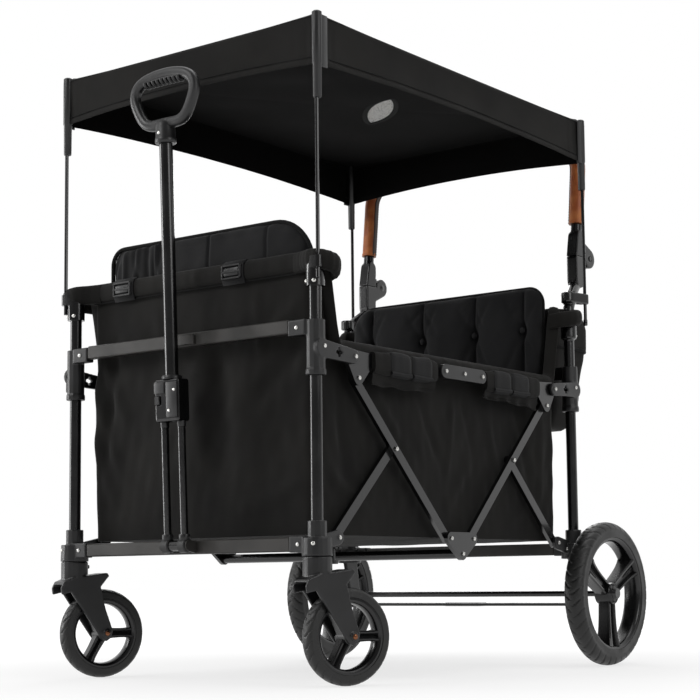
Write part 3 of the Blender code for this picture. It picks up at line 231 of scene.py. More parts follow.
# %% Weld and smooth the steel, soften the nylon
def new_tree(name, sized=False):
    """An empty Geometry Nodes tree that takes and gives geometry, and its input node."""
    tree = bpy.data.node_groups.new(name, "GeometryNodeTree")
    tree.interface.new_socket("Geometry", in_out="INPUT", socket_type="NodeSocketGeometry")
    if sized:
        tree.interface.new_socket("Size", in_out="INPUT", socket_type="NodeSocketFloat")
    tree.interface.new_socket("Geometry", in_out="OUTPUT", socket_type="NodeSocketGeometry")
    return tree, add(tree, "NodeGroupInput")


def weld_tree(angle):
    tree, source = new_tree("weld_and_smooth")
    bare = add(tree, "GeometryNodeRemoveAttribute", {0: source.outputs[0], "Name": "custom_normal"})
    weld = add(tree, "GeometryNodeMergeByDistance", {0: bare.outputs[0], "Distance": 0.00002})
    faces = add(tree, "GeometryNodeSetShadeSmooth", {0: weld.outputs[0], "Shade Smooth": True})
    bend = add(tree, "GeometryNodeInputMeshEdgeAngle")
    shallow = add(tree, "FunctionNodeCompare", {0: bend.outputs[0], 1: angle}, operation="LESS_THAN")
    edges = add(tree, "GeometryNodeSetShadeSmooth", {0: faces.outputs[0], "Shade Smooth": shallow.outputs[0]},
                domain="EDGE")
    add(tree, "NodeGroupOutput", {0: edges.outputs[0]})
    return tree


WELD = weld_tree(radians(36))
SKIN = {"front_foot": (0.0012, 4), "rear_foot": (0.0012, 4), "front_collar": (0.0012, 7),
        "rear_collar_bar": (0.0015, 6), "caster_fork": (0.0012, 10), "rail_connector": (0.0009, 4),
        "push_hub": (0.0009, 36), "pull_handle_yoke": (0.0011, 8), "caster_lock": (0.0006, 4),
        "rear_post": (0.0014, 14)}
for name, obj in NODES.items():
    finish = FINISH_OF[obj.data.materials[0].name]
    obj.data.materials[0] = GLOSS_NYLON if name.startswith("push_hub") else finish
    voxel, passes = next((skin for start, skin in SKIN.items() if name.startswith(start)), (None, None))
    if voxel:
        remesh = obj.modifiers.new("Skin", "REMESH")
        remesh.mode, remesh.voxel_size, remesh.use_smooth_shade = "VOXEL", voxel, True
        relax = obj.modifiers.new("Soft corners", "SMOOTH")
        relax.factor, relax.iterations = 0.5, passes
    else:
        obj.modifiers.new("Weld", "NODES").node_group = WELD
print("dressed", len(NODES), "solids")

# %% [markdown]
# ## Drawing tools
# A piece is drawn from rings of points, from a grid, or from a section swept along a path, and
# then becomes one mesh that is moved to its place in the wagon.

# %% Pieces from points
def link_mesh(name, mesh, sharp=40):
    """Put a mesh into the scene, smooth but for its sharp edges."""
    mesh.shade_smooth()
    mesh.set_sharp_from_angle(angle=radians(sharp))
    obj = bpy.data.objects.new(name, mesh)
    SCENE.collection.objects.link(obj)
    return obj


def piece(name, parts, material, sharp=40):
    """One mesh object from (points, faces) parts, drawn between the posts and then moved."""
    points, faces = [], []
    for part_points, part_faces in parts:
        base = len(points)
        points += [(p[0], p[1] + MOVED_Y, p[2]) for p in part_points]
        faces += [tuple(base + i for i in face) for face in part_faces]
    mesh = bpy.data.meshes.new(name)
    mesh.from_pydata(points, [], faces)
    bm = bmesh.new()
    bm.from_mesh(mesh)
    bmesh.ops.remove_doubles(bm, verts=bm.verts, dist=1e-6)
    bmesh.ops.recalc_face_normals(bm, faces=bm.faces)
    bm.to_mesh(mesh)
    bm.free()
    mesh.materials.append(material)
    return link_mesh(name, mesh, sharp)


def attach(obj, body, stands_for=None):
    """Let a piece ride on a body, and hide the solid that it stands for."""
    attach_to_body(obj, body)
    if stands_for:
        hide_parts(stands_for)


def rings(rows, loop=False):
    """Faces between closed rings of points, with a cap on each end unless the rings loop."""
    count = len(rows[0])
    points = [tuple(p) for row in rows for p in row]
    faces = []
    for r in range(len(rows) if loop else len(rows) - 1):
        a, b = r * count, ((r + 1) % len(rows)) * count
        faces += [(a + k, a + (k + 1) % count, b + (k + 1) % count, b + k) for k in range(count)]
    if not loop:
        faces.append(tuple(range(count))[::-1])
        faces.append(tuple((len(rows) - 1) * count + k for k in range(count)))
    return points, faces


def oval(half_a, half_b, sides, power=1.0):
    """A round or oval section, with flatter sides where power is below 1."""
    turns = [(cos(tau * k / sides), sin(tau * k / sides)) for k in range(sides)]
    return [(half_a * abs(c) ** power * (1 if c >= 0 else -1), half_b * abs(s) ** power * (1 if s >= 0 else -1))
            for c, s in turns]


def disc(radius, sides):
    return oval(radius, radius, sides)


def mirrored(half):
    """A closed section from its right half. Points on the axis aren't doubled."""
    return half + [(-u, v) for u, v in half[::-1] if u]


def four_way(quarter):
    """A closed section from its upper right quarter."""
    return mirrored([(u, -v) for u, v in quarter[::-1] if v] + quarter)


def strap_section(width, thick, round_steps=3):
    """The section of webbing or piping: a flat strip with round edges."""
    r = thick / 2
    half = width / 2 - r
    angles = [pi * k / round_steps for k in range(round_steps + 1)]
    return ([(half + r * cos(a - pi / 2), r * sin(a - pi / 2)) for a in angles]
            + [(-half + r * cos(a + pi / 2), r * sin(a + pi / 2)) for a in angles])


def sweep(path, section, up=(0, 0, 1), loop=False, scale=None):
    """A section carried along a path. The section's first axis lies across, its second along up."""
    path = [Vector(p) for p in path]
    rows = []
    count = len(path)
    for k, p in enumerate(path):
        before = path[(k - 1) % count] if loop else path[max(k - 1, 0)]
        after = path[(k + 1) % count] if loop else path[min(k + 1, count - 1)]
        along = (after - before).normalized()
        reference = Vector(up[k]) if isinstance(up[0], (tuple, Vector)) else Vector(up)
        across = along.cross(reference).normalized()
        over = across.cross(along).normalized()
        s = scale[k] if scale else 1.0
        rows.append([p + across * (u * s) + over * (v * s) for u, v in section])
    return rings(rows, loop)


def smooth_path(points, per_span, loop=False):
    """A smooth curve through a few points."""
    points = [Vector(p) for p in points]
    if loop:
        run = [points[-1]] + points + points[:2]
    else:
        run = [points[0] * 2 - points[1]] + points + [points[-1] * 2 - points[-2]]
    result = []
    for a, b, c, d in zip(run, run[1:], run[2:], run[3:]):
        for t in (k / per_span for k in range(per_span)):
            result.append(0.5 * (2 * b + (c - a) * t + (2 * a - 5 * b + 4 * c - d) * t * t
                                 + (3 * b - a - 3 * c + d) * t ** 3))
    return result if loop else result + [points[-1]]


def turned(profile, centre, axis="X", sides=48):
    """A closed profile of (along, radius) turned about the X or Z axis."""
    x, y, z = centre
    rows = []
    for k in range(sides):
        c, s = cos(tau * k / sides), sin(tau * k / sides)
        rows.append([(x + along, y + r * c, z + r * s) if axis == "X" else (x + r * c, y + r * s, z + along)
                     for along, r in profile])
    return rings(rows, loop=True)


def box_part(low, high, bevel):
    """A box with its edges broken, as points and faces."""
    bm = bmesh.new()
    size = [b - a for a, b in zip(low, high)]
    middle = [(a + b) / 2 for a, b in zip(low, high)]
    bmesh.ops.create_cube(bm, size=1.0, matrix=Matrix.Translation(middle) @ Matrix.Diagonal((*size, 1.0)))
    bmesh.ops.bevel(bm, geom=list(bm.edges), offset=bevel, segments=2, affect="EDGES", profile=0.6)
    bm.verts.ensure_lookup_table()
    part = [tuple(v.co) for v in bm.verts], [tuple(v.index for v in f.verts) for f in bm.faces]
    bm.free()
    return part


# %% [markdown]
# ## Geometry Nodes for what repeats
# Rivets and stitches are small parts that are repeated dozens of times. A mesh of bare points
# with a direction on each one goes into a tree, which puts a small shape on every point, turns it
# along the direction, makes it real and gives it its material.

# %% A tree that sets a shape on points
def scatter_tree(name, profile, sides, material):
    """Turn a small shape, keep it out of the picture, and build the tree that repeats it."""
    shape = piece("shape_" + name, [turned(profile, (0, -MOVED_Y, 0), "Z", sides)], material)
    shape.hide_render = True
    SCENE.collection.objects.unlink(shape)
    tree, source = new_tree(name, sized=True)
    info = add(tree, "GeometryNodeObjectInfo", {"Object": shape})
    way = add(tree, "GeometryNodeInputNamedAttribute", {"Name": "way"}, data_type="FLOAT_VECTOR")
    turn = add(tree, "FunctionNodeAlignRotationToVector", {"Vector": way.outputs[0]}, axis="Z")
    spread = add(tree, "GeometryNodeInstanceOnPoints", {
        "Points": source.outputs[0], "Instance": info.outputs["Geometry"], "Rotation": turn.outputs[0],
        "Scale": source.outputs[1]})
    real = add(tree, "GeometryNodeRealizeInstances", {0: spread.outputs[0]})
    painted = add(tree, "GeometryNodeSetMaterial", {0: real.outputs[0], "Material": material})
    add(tree, "NodeGroupOutput", {0: painted.outputs[0]})
    return tree


def baked(obj):
    """The mesh that an object's modifiers give."""
    return bpy.data.meshes.new_from_object(obj.evaluated_get(bpy.context.evaluated_depsgraph_get()))


def scatter(name, tree, size, spots, body, material=None):
    """Spots are (place, direction). One plain mesh with the shape on each spot rides on the body."""
    mesh = bpy.data.meshes.new(name + "_spots")
    mesh.from_pydata([(p[0], p[1] + MOVED_Y, p[2]) for p, _ in spots], [], [])
    ways = mesh.attributes.new("way", "FLOAT_VECTOR", "POINT")
    ways.data.foreach_set("vector", [c for _, way in spots for c in way])
    holder = bpy.data.objects.new(name + "_spots", mesh)
    SCENE.collection.objects.link(holder)
    modifier = holder.modifiers.new("Scatter", "NODES")
    modifier.node_group = tree
    modifier[next(i.identifier for i in tree.interface.items_tree if i.name == "Size")] = size
    result = baked(holder)
    result.name = name
    bpy.data.objects.remove(holder)
    obj = link_mesh(name, result)
    if material:
        result.materials.clear()
        result.materials.append(material)
    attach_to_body(obj, body)
    return obj


RIVETS = scatter_tree("rivets", [(-0.3, 0.0005), (-0.3, 1.0), (0.12, 1.0), (0.34, 0.86), (0.50, 0.55),
                                 (0.56, 0.0005)], 14, STEEL)
STITCHES = scatter_tree("stitches", [(-1.0, 0.0005), (-0.8, 0.20), (0.0, 0.30), (0.8, 0.20), (1.0, 0.0005)],
                        6, THREAD)
KNOTS = scatter_tree("knots", [(-0.5, 0.0005), (-0.5, 0.85), (-0.1, 1.0), (0.25, 0.8), (0.40, 0.4),
                               (0.34, 0.0005)], 12, PADDING)
print("patterns ready")

# %% [markdown]
# ## Rivets
# Bright rivets hold every link, lug and cap. Each sits on the black head or block below it.

# %% Rivets on each body
STRUT_FOOT, MID_PIVOT, BRACE_FOOT = (0.360, 0.247), (0.195, 0.406), (0.037, 0.250)
RAIL_HINGE, RAIL_TIP, CROSS_Z = (0.332, 0.556), 0.061, 0.222
BRACE_ARM, RIVET_R = 0.1645, 0.0038
reach_y, reach_z = MID_PIVOT[0] - BRACE_FOOT[0], MID_PIVOT[1] - BRACE_FOOT[1]
reach = (reach_y ** 2 + reach_z ** 2) ** 0.5
BRACE_TOP = (MID_PIVOT[0] + reach_y / reach * BRACE_ARM, MID_PIVOT[1] + reach_z / reach * BRACE_ARM)


def rivets(body, spots, size=RIVET_R):
    scatter(f"rivets_{body}", RIVETS, size, spots, body)


def on_side(side, y, z, x):
    """A rivet on a face that looks sideways."""
    return (side * x, y, z), (side, 0, 0)


for end, end_name in ENDS:
    feet_spots, link_spots, rail_spots, collar_spots = [], [], [], []
    for side, _ in SIDES:
        feet_spots += [on_side(side, end * STRUT_FOOT[0], STRUT_FOOT[1], layer_out(1) + HEAD_T),
                       on_side(side, end * 0.394, 0.235, layer_out(1) + 0.0004),
                       ((side * 0.262, end * 0.4376, 0.235), (0, end, 0)),
                       ((side * (POST_X + 0.010), end * (POST_Y + 0.0236), 0.236), (side * 0.4, end * 0.92, 0))]
        feet_spots += [((side * POST_X + dx, end * (POST_Y + 0.0142), 0.676), (dx * 55, end, 0))
                       for dx in (-0.0085, 0.0085)]
        link_spots.append(on_side(side, end * MID_PIVOT[0], MID_PIVOT[1],
                                  layer_out(1) + LINK_RUN + 0.0005 + HEAD_T))
        rail_spots.append(on_side(side, end * BRACE_TOP[0], BRACE_TOP[1], layer_out(2) + HEAD_T))
        collar_spots += [on_side(side, end * RAIL_HINGE[0], RAIL_HINGE[1], layer_out(3) + HEAD_T),
                         on_side(side, end * 0.416, 0.566, layer_out(3) + 0.0003),
                         ((side * 0.262, end * 0.4376, 0.5985), (0, end, 0))]
    rivets(f"{end_name}_end", feet_spots)
    rivets(f"{end_name}_struts", link_spots, 0.0042)
    rivets(f"{end_name}_rails", rail_spots)
    rivets(f"{end_name}_carriage", collar_spots)
connector_x = layer_out(3) + 0.002 + HEAD_T
rivets("rail_connectors", [on_side(s, y, RAIL_HINGE[1], connector_x)
                           for s, _ in SIDES for y in (-RAIL_TIP, 0, RAIL_TIP)])
rivets("cross_tube", [on_side(s, y, z, layer_out(2) + HEAD_T) for s, _ in SIDES
                      for y, z in ((-BRACE_FOOT[0], BRACE_FOOT[1]), BRACE_FOOT, (0, CROSS_Z))])

# %% [markdown]
# ## Cloth tools
# A sewn wall is never flat. It hangs in long shallow folds that start where it is held, so each
# fold is drawn as a ridge along a line that fades at both ends. A little drifting noise on top
# keeps the folds from looking drawn.

# %% Folds and noise
def drift(a, b, seed, size):
    """Smooth noise between -1 and 1 over patches of about size metres."""
    draw = np.random.default_rng(seed)
    total = np.zeros_like(a, dtype=float)
    for _ in range(7):
        angle, phase = draw.uniform(0, tau, 2)
        rate = tau / size * draw.uniform(0.5, 1.3)
        total += np.sin((a * cos(angle) + b * sin(angle)) * rate + phase)
    return total / 4.0


def fold(a, b, start, end, width, height):
    """A ridge from start to end across a wall whose own coordinates are a and b."""
    start, end = np.array(start, float), np.array(end, float)
    line = end - start
    length = np.linalg.norm(line)
    line /= length
    along = ((a - start[0]) * line[0] + (b - start[1]) * line[1]) / length
    aside = (a - start[0]) * line[1] - (b - start[1]) * line[0]
    fade = np.clip(np.minimum(along * 4 + 0.3, (1 - along) * 3), 0, 1)
    return height * np.exp(-(aside / width) ** 2) * fade * fade * (3 - 2 * fade)


def folds(a, b, rows, gain=1.0):
    """The sum of folds, from rows of start, end, width and height."""
    return sum(fold(a, b, (a0, b0), (a1, b1), width, height * gain) for a0, b0, a1, b1, width, height in rows)


def step(low, high, value):
    """A smooth rise from 0 to 1 between two values."""
    t = np.clip((value - low) / (high - low), 0, 1)
    return t * t * (3 - 2 * t)


def outline_of(half_x, low_y, high_y, corner, spacing):
    """Points round a rounded rectangle, as arrays x, y and outward nx, ny."""
    points = []
    middles = [(half_x - corner, high_y - corner), (-half_x + corner, high_y - corner),
               (-half_x + corner, low_y + corner), (half_x - corner, low_y + corner)]
    for k, (cx, cy) in enumerate(middles):
        for angle in (pi / 2 * (k + j / 5) for j in range(6)):
            points.append((cx + corner * cos(angle), cy + corner * sin(angle), cos(angle), sin(angle)))
        nx, ny, ux, uy = cos(pi / 2 * (k + 1)), sin(pi / 2 * (k + 1)), *middles[(k + 1) % 4]
        start, stop = points[-1][:2], (ux + corner * nx, uy + corner * ny)
        run_x, run_y = stop[0] - start[0], stop[1] - start[1]
        count = int((run_x ** 2 + run_y ** 2) ** 0.5 / spacing)
        points += [(start[0] + run_x * j / count, start[1] + run_y * j / count, nx, ny)
                   for j in range(1, count)]
    return np.array(points).T


def sheet_part(rows, fill_last=False):
    """Rows of points, each closed round, as points and faces."""
    count = len(rows[0])
    faces = [(a + k, a + (k + 1) % count, a + count + (k + 1) % count, a + count + k)
             for a in range(0, (len(rows) - 1) * count, count) for k in range(count)]
    if fill_last:
        faces.append(tuple((len(rows) - 1) * count + k for k in range(count)))
    return [tuple(p) for row in rows for p in row], faces


def thicken(obj, thickness, offset=-1.0):
    solidify = obj.modifiers.new("Cloth thickness", "SOLIDIFY")
    solidify.thickness, solidify.offset, solidify.use_even_offset = thickness, offset, False
    return solidify


def across_fold(obj):
    """Bake the cloth's place in the scene into its mesh."""
    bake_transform(obj)


# %% [markdown]
# ## The tub
# The tub is one sewn cloth box: a floor, two long low sides and two high ends, with a padded roll
# along its top edge. The sheet is drawn as rings that start in the middle of the floor, turn up at
# the bottom seam, climb the walls and roll over the top edge.

# %% The tub's shape
TUB_X, TUB_Y, TUB_Z = 0.267, 0.400, 0.252
TUB_END_TOP, TUB_SIDE_TOP, HEM = 0.735, 0.588, 0.036
HEM_END, HEM_SIDE, HEM_TUCK = 0.012, 0.0245, 0.014
END_FOLDS = ((-0.25, 0.62, -0.16, 0.44, 0.016, 0.0050), (-0.262, 0.56, -0.19, 0.36, 0.013, 0.0045),
             (-0.265, 0.46, -0.20, 0.30, 0.014, 0.0040), (-0.20, 0.64, -0.235, 0.33, 0.012, -0.0045),
             (-0.25, 0.30, -0.10, 0.27, 0.012, 0.0035), (0.25, 0.66, 0.12, 0.56, 0.014, 0.0045),
             (0.26, 0.60, 0.10, 0.45, 0.018, -0.0040), (0.05, 0.60, 0.07, 0.30, 0.030, -0.0050),
             (0.02, 0.60, -0.02, 0.28, 0.030, 0.0035), (0.24, 0.34, 0.06, 0.28, 0.014, 0.0040),
             (-0.10, 0.68, -0.06, 0.52, 0.012, 0.0030), (0.14, 0.68, 0.16, 0.55, 0.010, 0.0030))
SIDE_FOLDS = ((-0.34, 0.53, -0.30, 0.30, 0.012, -0.0045), (-0.36, 0.36, -0.22, 0.28, 0.012, 0.0040),
              (-0.26, 0.54, -0.12, 0.40, 0.012, 0.0040), (-0.10, 0.52, -0.02, 0.38, 0.010, -0.0040),
              (0.02, 0.52, 0.00, 0.36, 0.008, 0.0040), (0.05, 0.52, 0.09, 0.40, 0.009, -0.0035),
              (-0.02, 0.28, 0.10, 0.42, 0.013, 0.0035), (0.00, 0.27, -0.14, 0.36, 0.012, 0.0035),
              (0.13, 0.52, 0.18, 0.34, 0.013, 0.0030), (0.24, 0.53, 0.30, 0.33, 0.012, -0.0040),
              (0.34, 0.52, 0.33, 0.30, 0.014, 0.0040), (0.20, 0.28, 0.34, 0.33, 0.010, 0.0030))
HEM_ROLL = ((0.42, 0.01), (0.80, 0.10), (0.97, 0.30), (1.0, 0.52), (0.95, 0.74), (0.72, 0.92), (0.35, 1.0),
            (0.0, 0.985), (-0.18, 0.90), (-0.22, 0.60), (-0.16, 0.2))
tub_x, tub_y, tub_nx, tub_ny = outline_of(TUB_X, -TUB_Y, TUB_Y, 0.020, 0.0062)
# The top edge is low along the sides and high across the ends.
tub_wall_top = TUB_SIDE_TOP + (TUB_END_TOP - TUB_SIDE_TOP) * step(0.350, 0.386, np.abs(tub_y)) - HEM


def tub_bulge(height, z):
    """How far the wall stands out from flat at a height between 0 and 1."""
    end_wall = (0.0022 * drift(tub_x, z, 3, 0.16) + 0.0012 * drift(tub_x * 2, z, 4, 0.07)
                + folds(tub_x, z, END_FOLDS, 1.6))
    side_wall = (0.0018 * drift(tub_y, z, 5, 0.14) + 0.0010 * drift(tub_y * 2, z, 6, 0.06)
                 + folds(tub_y, z, SIDE_FOLDS))
    side_wall = np.clip(side_wall, -0.006, 0.0042)
    return sin(pi * height) ** 0.7 * (end_wall * np.abs(tub_ny) + side_wall * np.abs(tub_nx))


# %% The tub's sheet, ring by ring
tub_rows = []
for share in (0.05, 0.2, 0.35, 0.5, 0.62, 0.72, 0.80, 0.87, 0.93, 0.97):
    sag = 0.005 * (1 - share ** 4) + 0.0015 * drift(tub_x * share, tub_y * share, 8, 0.11)
    tub_rows.append(np.stack([tub_x * share, tub_y * share, TUB_Z + 0.001 - sag], 1))
WALL_RINGS = 46
for height in (k / WALL_RINGS for k in range(WALL_RINGS + 1)):
    z = TUB_Z + (tub_wall_top - TUB_Z) * height
    out = tub_bulge(height, z) - 0.004 * (1 - height) ** 2
    tub_rows.append(np.stack([tub_x + tub_nx * out, tub_y + tub_ny * out, z], 1))
pucker = 0.0010 * drift(tub_x + tub_y, tub_x - tub_y, 9, 0.05) + 0.0007 * drift(tub_x + tub_y, tub_x, 10, 0.022)
for swell, rise in HEM_ROLL:
    side_out, end_out = (width * swell if swell > 0 else HEM_TUCK * swell for width in (HEM_SIDE, HEM_END))
    wave = pucker * np.sin(pi * rise)
    tub_rows.append(np.stack([tub_x + tub_nx * (side_out + wave), tub_y + tub_ny * (end_out + wave),
                              tub_wall_top + HEM * rise], 1))
# The rows run from the hem to the middle of the floor, where the last ring is filled.
tub = piece("tub_cloth", [sheet_part(tub_rows[::-1], fill_last=True)], CANVAS, 75)
thicken(tub, 0.0016)
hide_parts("tub")
across_fold(tub)
print("tub", len(tub.data.polygons), "faces")

# %% [markdown]
# ## Rail sleeves and hem tabs
# The tub hangs on its rails in padded sleeves. Each sleeve is closed by two wide tabs with hook
# tape, and its sewn edge hangs below it as a thin wavy lip. Two buckled tabs hold the front hem.

# %% Sleeves round the rails
SLEEVE_X, SLEEVE_Z = 0.2985, 0.5525
SLEEVE_HALF_T, SLEEVE_HALF_H, TAB_T = 0.0090, 0.0205, 0.0022
SLEEVE_Y, TABS_Y = (0.082, 0.274), ((0.1040, 0.1640), (0.1690, 0.2300))


def sleeve_part(side, span, section, lumps, seed, steps):
    """A sleeve along a rail, with small lumps that differ from ring to ring."""
    rows = []
    for t in (k / steps for k in range(steps + 1)):
        y = span[0] + (span[1] - span[0]) * t
        swell = (1 - 0.16 * (abs(2 * t - 1) ** 10)) * (1 + lumps * drift(y * 3.0, side * 0.2, seed, 0.11))
        z = SLEEVE_Z + 0.0016 * drift(y, side, seed + 1, 0.09)
        waves = [lumps * 0.0060 * drift(y * 2.0, v * 2.0, seed + 2, 0.05) if u > 0 else 0 for u, v in section]
        rows.append([(side * (SLEEVE_X + u * swell + wave), y, z + v * swell)
                     for (u, v), wave in zip(section, waves)])
    return rings(rows)


def lip_part(side, span, seed, steps=44):
    """The thin wavy edge of cloth below a sleeve."""
    rows = []
    for t in (k / steps for k in range(steps + 1)):
        y = span[0] + (span[1] - span[0]) * t
        low = SLEEVE_Z - 0.0345 + 0.0050 * drift(y, 0.3, seed, 0.07) - 0.006 * t
        sway = 0.0030 * drift(y, 0.9, seed + 4, 0.045)
        high, middle, foot = SLEEVE_X + 0.001, SLEEVE_X - 0.001 + sway * 0.5, SLEEVE_X - 0.004 + sway
        high_z, middle_z = SLEEVE_Z - 0.014, SLEEVE_Z - 0.026
        ring = ((high + 0.0011, high_z), (middle + 0.0011, middle_z), (foot + 0.0008, low + 0.004),
                (foot + 0.0026, low + 0.0016), (foot + 0.0020, low - 0.0008), (foot - 0.0014, low - 0.0008),
                (foot - 0.0020, low + 0.0016), (foot - 0.0008, low + 0.004), (middle - 0.0011, middle_z),
                (high - 0.0011, high_z))
        rows.append([(side * x, y, z) for x, z in ring])
    return rings(rows)


sleeve_section = oval(SLEEVE_HALF_T, SLEEVE_HALF_H, 32, 0.6)
tab_section = oval(SLEEVE_HALF_T + TAB_T, SLEEVE_HALF_H + TAB_T, 32, 0.6)
for end, end_name in ENDS:
    sleeves, tabs = [], []
    for side, _ in SIDES:
        span = [end * y for y in SLEEVE_Y]
        sleeves += [sleeve_part(side, span, sleeve_section, 0.05, 60 + end, 46), lip_part(side, span, 70 + end)]
        for near, far in TABS_Y:
            tabs.append(sleeve_part(side, (end * near, end * far), tab_section, 0.03, 60 + end, 14))
            out_x, low_z = side * (SLEEVE_X + SLEEVE_HALF_T + 0.0012), SLEEVE_Z - SLEEVE_HALF_H + 0.004
            roll = [(out_x, end * y, low_z + 0.0006 * sin(y * 90)) for y in np.linspace(near, far, 8)]
            tabs.append(sweep(roll, oval(0.0036 * 0.7, 0.0036, 8)))
    sleeve = piece(f"{end_name}_rail_sleeves", sleeves, CANVAS, 60)
    tab = piece(f"{end_name}_rail_tabs", tabs, WEBBING, 60)
    attach(sleeve, f"{end_name}_rails")
    attach(tab, f"{end_name}_rails")
print("sleeves and tabs on", len(ENDS) * len(SIDES), "rails")


# %% The hem's ends, drawn over the corner posts
HEM_MIDDLE = TUB_END_TOP - 0.019
CORNER_PATH = ((0.236, 0.4045, 0.0), (0.262, 0.4100, 0.0), (0.288, 0.4225, -0.001), (0.3075, 0.4190, -0.004),
               (0.3130, 0.3980, -0.008), (0.3000, 0.3760, -0.012), (0.2780, 0.3640, -0.016))


def corner_roll(end, side, seed):
    """The padded end of a hem: it leaves the end wall, rounds the top of a post and tucks in."""
    path = smooth_path([(side * x, end * y, HEM_MIDDLE + z) for x, y, z in CORNER_PATH], 7)
    rows = []
    count = len(path)
    for k, at in enumerate(path):
        t = k / (count - 1)
        along = (path[min(k + 1, count - 1)] - path[max(k - 1, 0)]).normalized()
        across = along.cross(Vector((0, 0, 1))).normalized()
        half_t = (0.0075 + 0.0070 * sin(pi * min(t * 1.25, 1))) * (1 if t < 0.9 else 0.6)
        crease = 0.0012 * sin(k * 1.9 + seed) * sin(pi * t)
        rows.append([at + across * (u + crease * (1 if u > 0 else 0.4)) + Vector((0, 0, v))
                     for u, v in oval(half_t, 0.0185 - 0.003 * t, 24, 0.75)])
    return rings(rows)


for end, end_name in ENDS:
    rolls = [corner_roll(end, side, side + end) for side, _ in SIDES]
    corners = piece(f"{end_name}_hem_corners", rolls, CANVAS, 70)
    attach(corners, f"{end_name}_end")
    line = [(x, end * (TUB_Y + 0.0062), TUB_END_TOP - HEM - 0.0012) for x in np.linspace(-0.255, 0.255, 70)]
    attach(piece(f"{end_name}_hem_seam", [sweep(line, disc(0.0013, 6))], TRIM), f"{end_name}_end")


# %% Buckled tabs on the front hem
TABS_X, TAB_WIDTH, BUCKLE_X, BUCKLE_BAR = (-0.172, 0.098), 0.052, 0.0205, 0.0021
ROLL_RISES, ROLL_SWELLS = (0.0, 0.10, 0.30, 0.52, 0.74, 0.92, 1.0), (0.45, 0.80, 0.97, 1.0, 0.95, 0.72, 0.30)


def hem_face(out, lift):
    """Where the front hem's face stands, out metres in front of it and lift metres above its foot."""
    return -TUB_Y - HEM_END * float(np.interp(min(max(lift / HEM, 0.0), 1.0), ROLL_RISES, ROLL_SWELLS)) - out


tab_parts, buckle_parts = [], []
for middle in TABS_X:
    path = [(middle, hem_face(0.0022, lift), TUB_END_TOP - HEM + lift)
            for lift in (-0.004, 0.002, 0.006, 0.011, 0.017, 0.023, 0.028, 0.032, 0.0350)]
    path += [(middle, -TUB_Y - 0.002, TUB_END_TOP + 0.0022), (middle, -TUB_Y + 0.006, TUB_END_TOP + 0.0014)]
    tab_parts.append(sweep(path, strap_section(TAB_WIDTH, 0.0030), up=(0, -1, 0.001)))
    face, low, high = hem_face(0.0050, 0.018), TUB_END_TOP - HEM + 0.006, TUB_END_TOP - 0.007
    left, right, half_up = middle - BUCKLE_X, middle + BUCKLE_X, (low + high) / 2
    for ax, az, bx, bz in ((left, low, right, low), (right, low, right, high), (right, high, left, high),
                           (left, high, left, low), (left, half_up, right, half_up)):
        buckle_parts.append(sweep([(ax, face, az), (bx, face, bz)], disc(BUCKLE_BAR, 10), up=(0, 1, 0)))
    buckle_parts.append(box_part((middle - 0.0165, face - 0.0010, low + 0.0045),
                                 (middle + 0.0165, face + 0.0030, high - 0.0045), 0.0012))
attach(piece("front_hem_tabs", tab_parts, WEBBING), "front_end")
attach(piece("front_hem_buckles", buckle_parts, NYLON), "front_end")

# %% [markdown]
# ## The canopy
# The canopy is one cloth: a flat roof with a deep valance all round. It hangs from four corner
# sleeves, so the roof's edges sag a little between them, the valance's lower edge lifts in the
# middle, and short folds run down from each corner.

# %% The canopy's sheet
CAN_X, CAN_FRONT, CAN_REAR, CAN_TOP, CAN_LOW, CAN_LIFT = 0.308, -0.432, 0.463, 1.1375, 1.047, 0.013
can_mid, can_half = (CAN_FRONT + CAN_REAR) / 2, (CAN_REAR - CAN_FRONT) / 2
can_x, can_y, can_nx, can_ny = outline_of(CAN_X, CAN_FRONT, CAN_REAR, 0.010, 0.0088)
on_end = np.abs(can_ny) > 0.9
across_share = np.where(on_end, np.abs(can_x) / CAN_X, np.abs(can_y - can_mid) / can_half)
arch = np.clip(1 - across_share ** 2, 0, 1)
corner_pull = np.exp(-((1 - across_share) / 0.10) ** 2)
along = np.where(on_end, can_x, can_y)
can_rows = []
for share in (0.0, 0.02, 0.05, 0.09, 0.11, 0.13, 0.2, 0.3, 0.4, 0.5, 0.6, 0.7, 0.8, 0.87, 0.93, 0.97, 1.0):
    low_edge, top_edge = CAN_LOW + CAN_LIFT * arch, CAN_TOP - 0.004 * arch - 0.001
    z = low_edge + (top_edge - low_edge) * share
    wall = np.sin(pi * np.clip(share * 0.85 + 0.15, 0, 1))
    wave = 0.0014 * drift(along, z, 12, 0.13) * wall + 0.0022 * np.sin(along * 260) * corner_pull * wall
    inward = 0.0045 * arch * wall - wave - 0.0010 * (share < 0.1) + 0.0022 * (share == 1.0)
    can_rows.append(np.stack([can_x - can_nx * inward, can_y - can_ny * inward, z], 1))
for share in (0.985, 0.96, 0.92, 0.87, 0.81, 0.75, 0.69, 0.63, 0.58, 0.53, 0.49, 0.46,
              *np.linspace(0.44, 0.01, 48)):
    x, y = can_x * share, can_mid + (can_y - can_mid) * share
    diagonal = np.minimum(np.abs(can_x) / CAN_X, np.abs(can_y - can_mid) / can_half) ** 8
    sag = 0.004 * arch * share + 0.007 * (1 - share ** 2) - 0.003 * diagonal * share ** 3
    ripple = (0.0016 * drift(x, y, 14, 0.17) * np.sin(pi * share)
              + 0.002 * np.sin(70 * (x - y)) * diagonal * share ** 4)
    can_rows.append(np.stack([x, y, CAN_TOP - 0.0006 - sag + ripple], 1))
canopy = piece("canopy_cloth", [sheet_part(can_rows, fill_last=True)], CANVAS, 60)

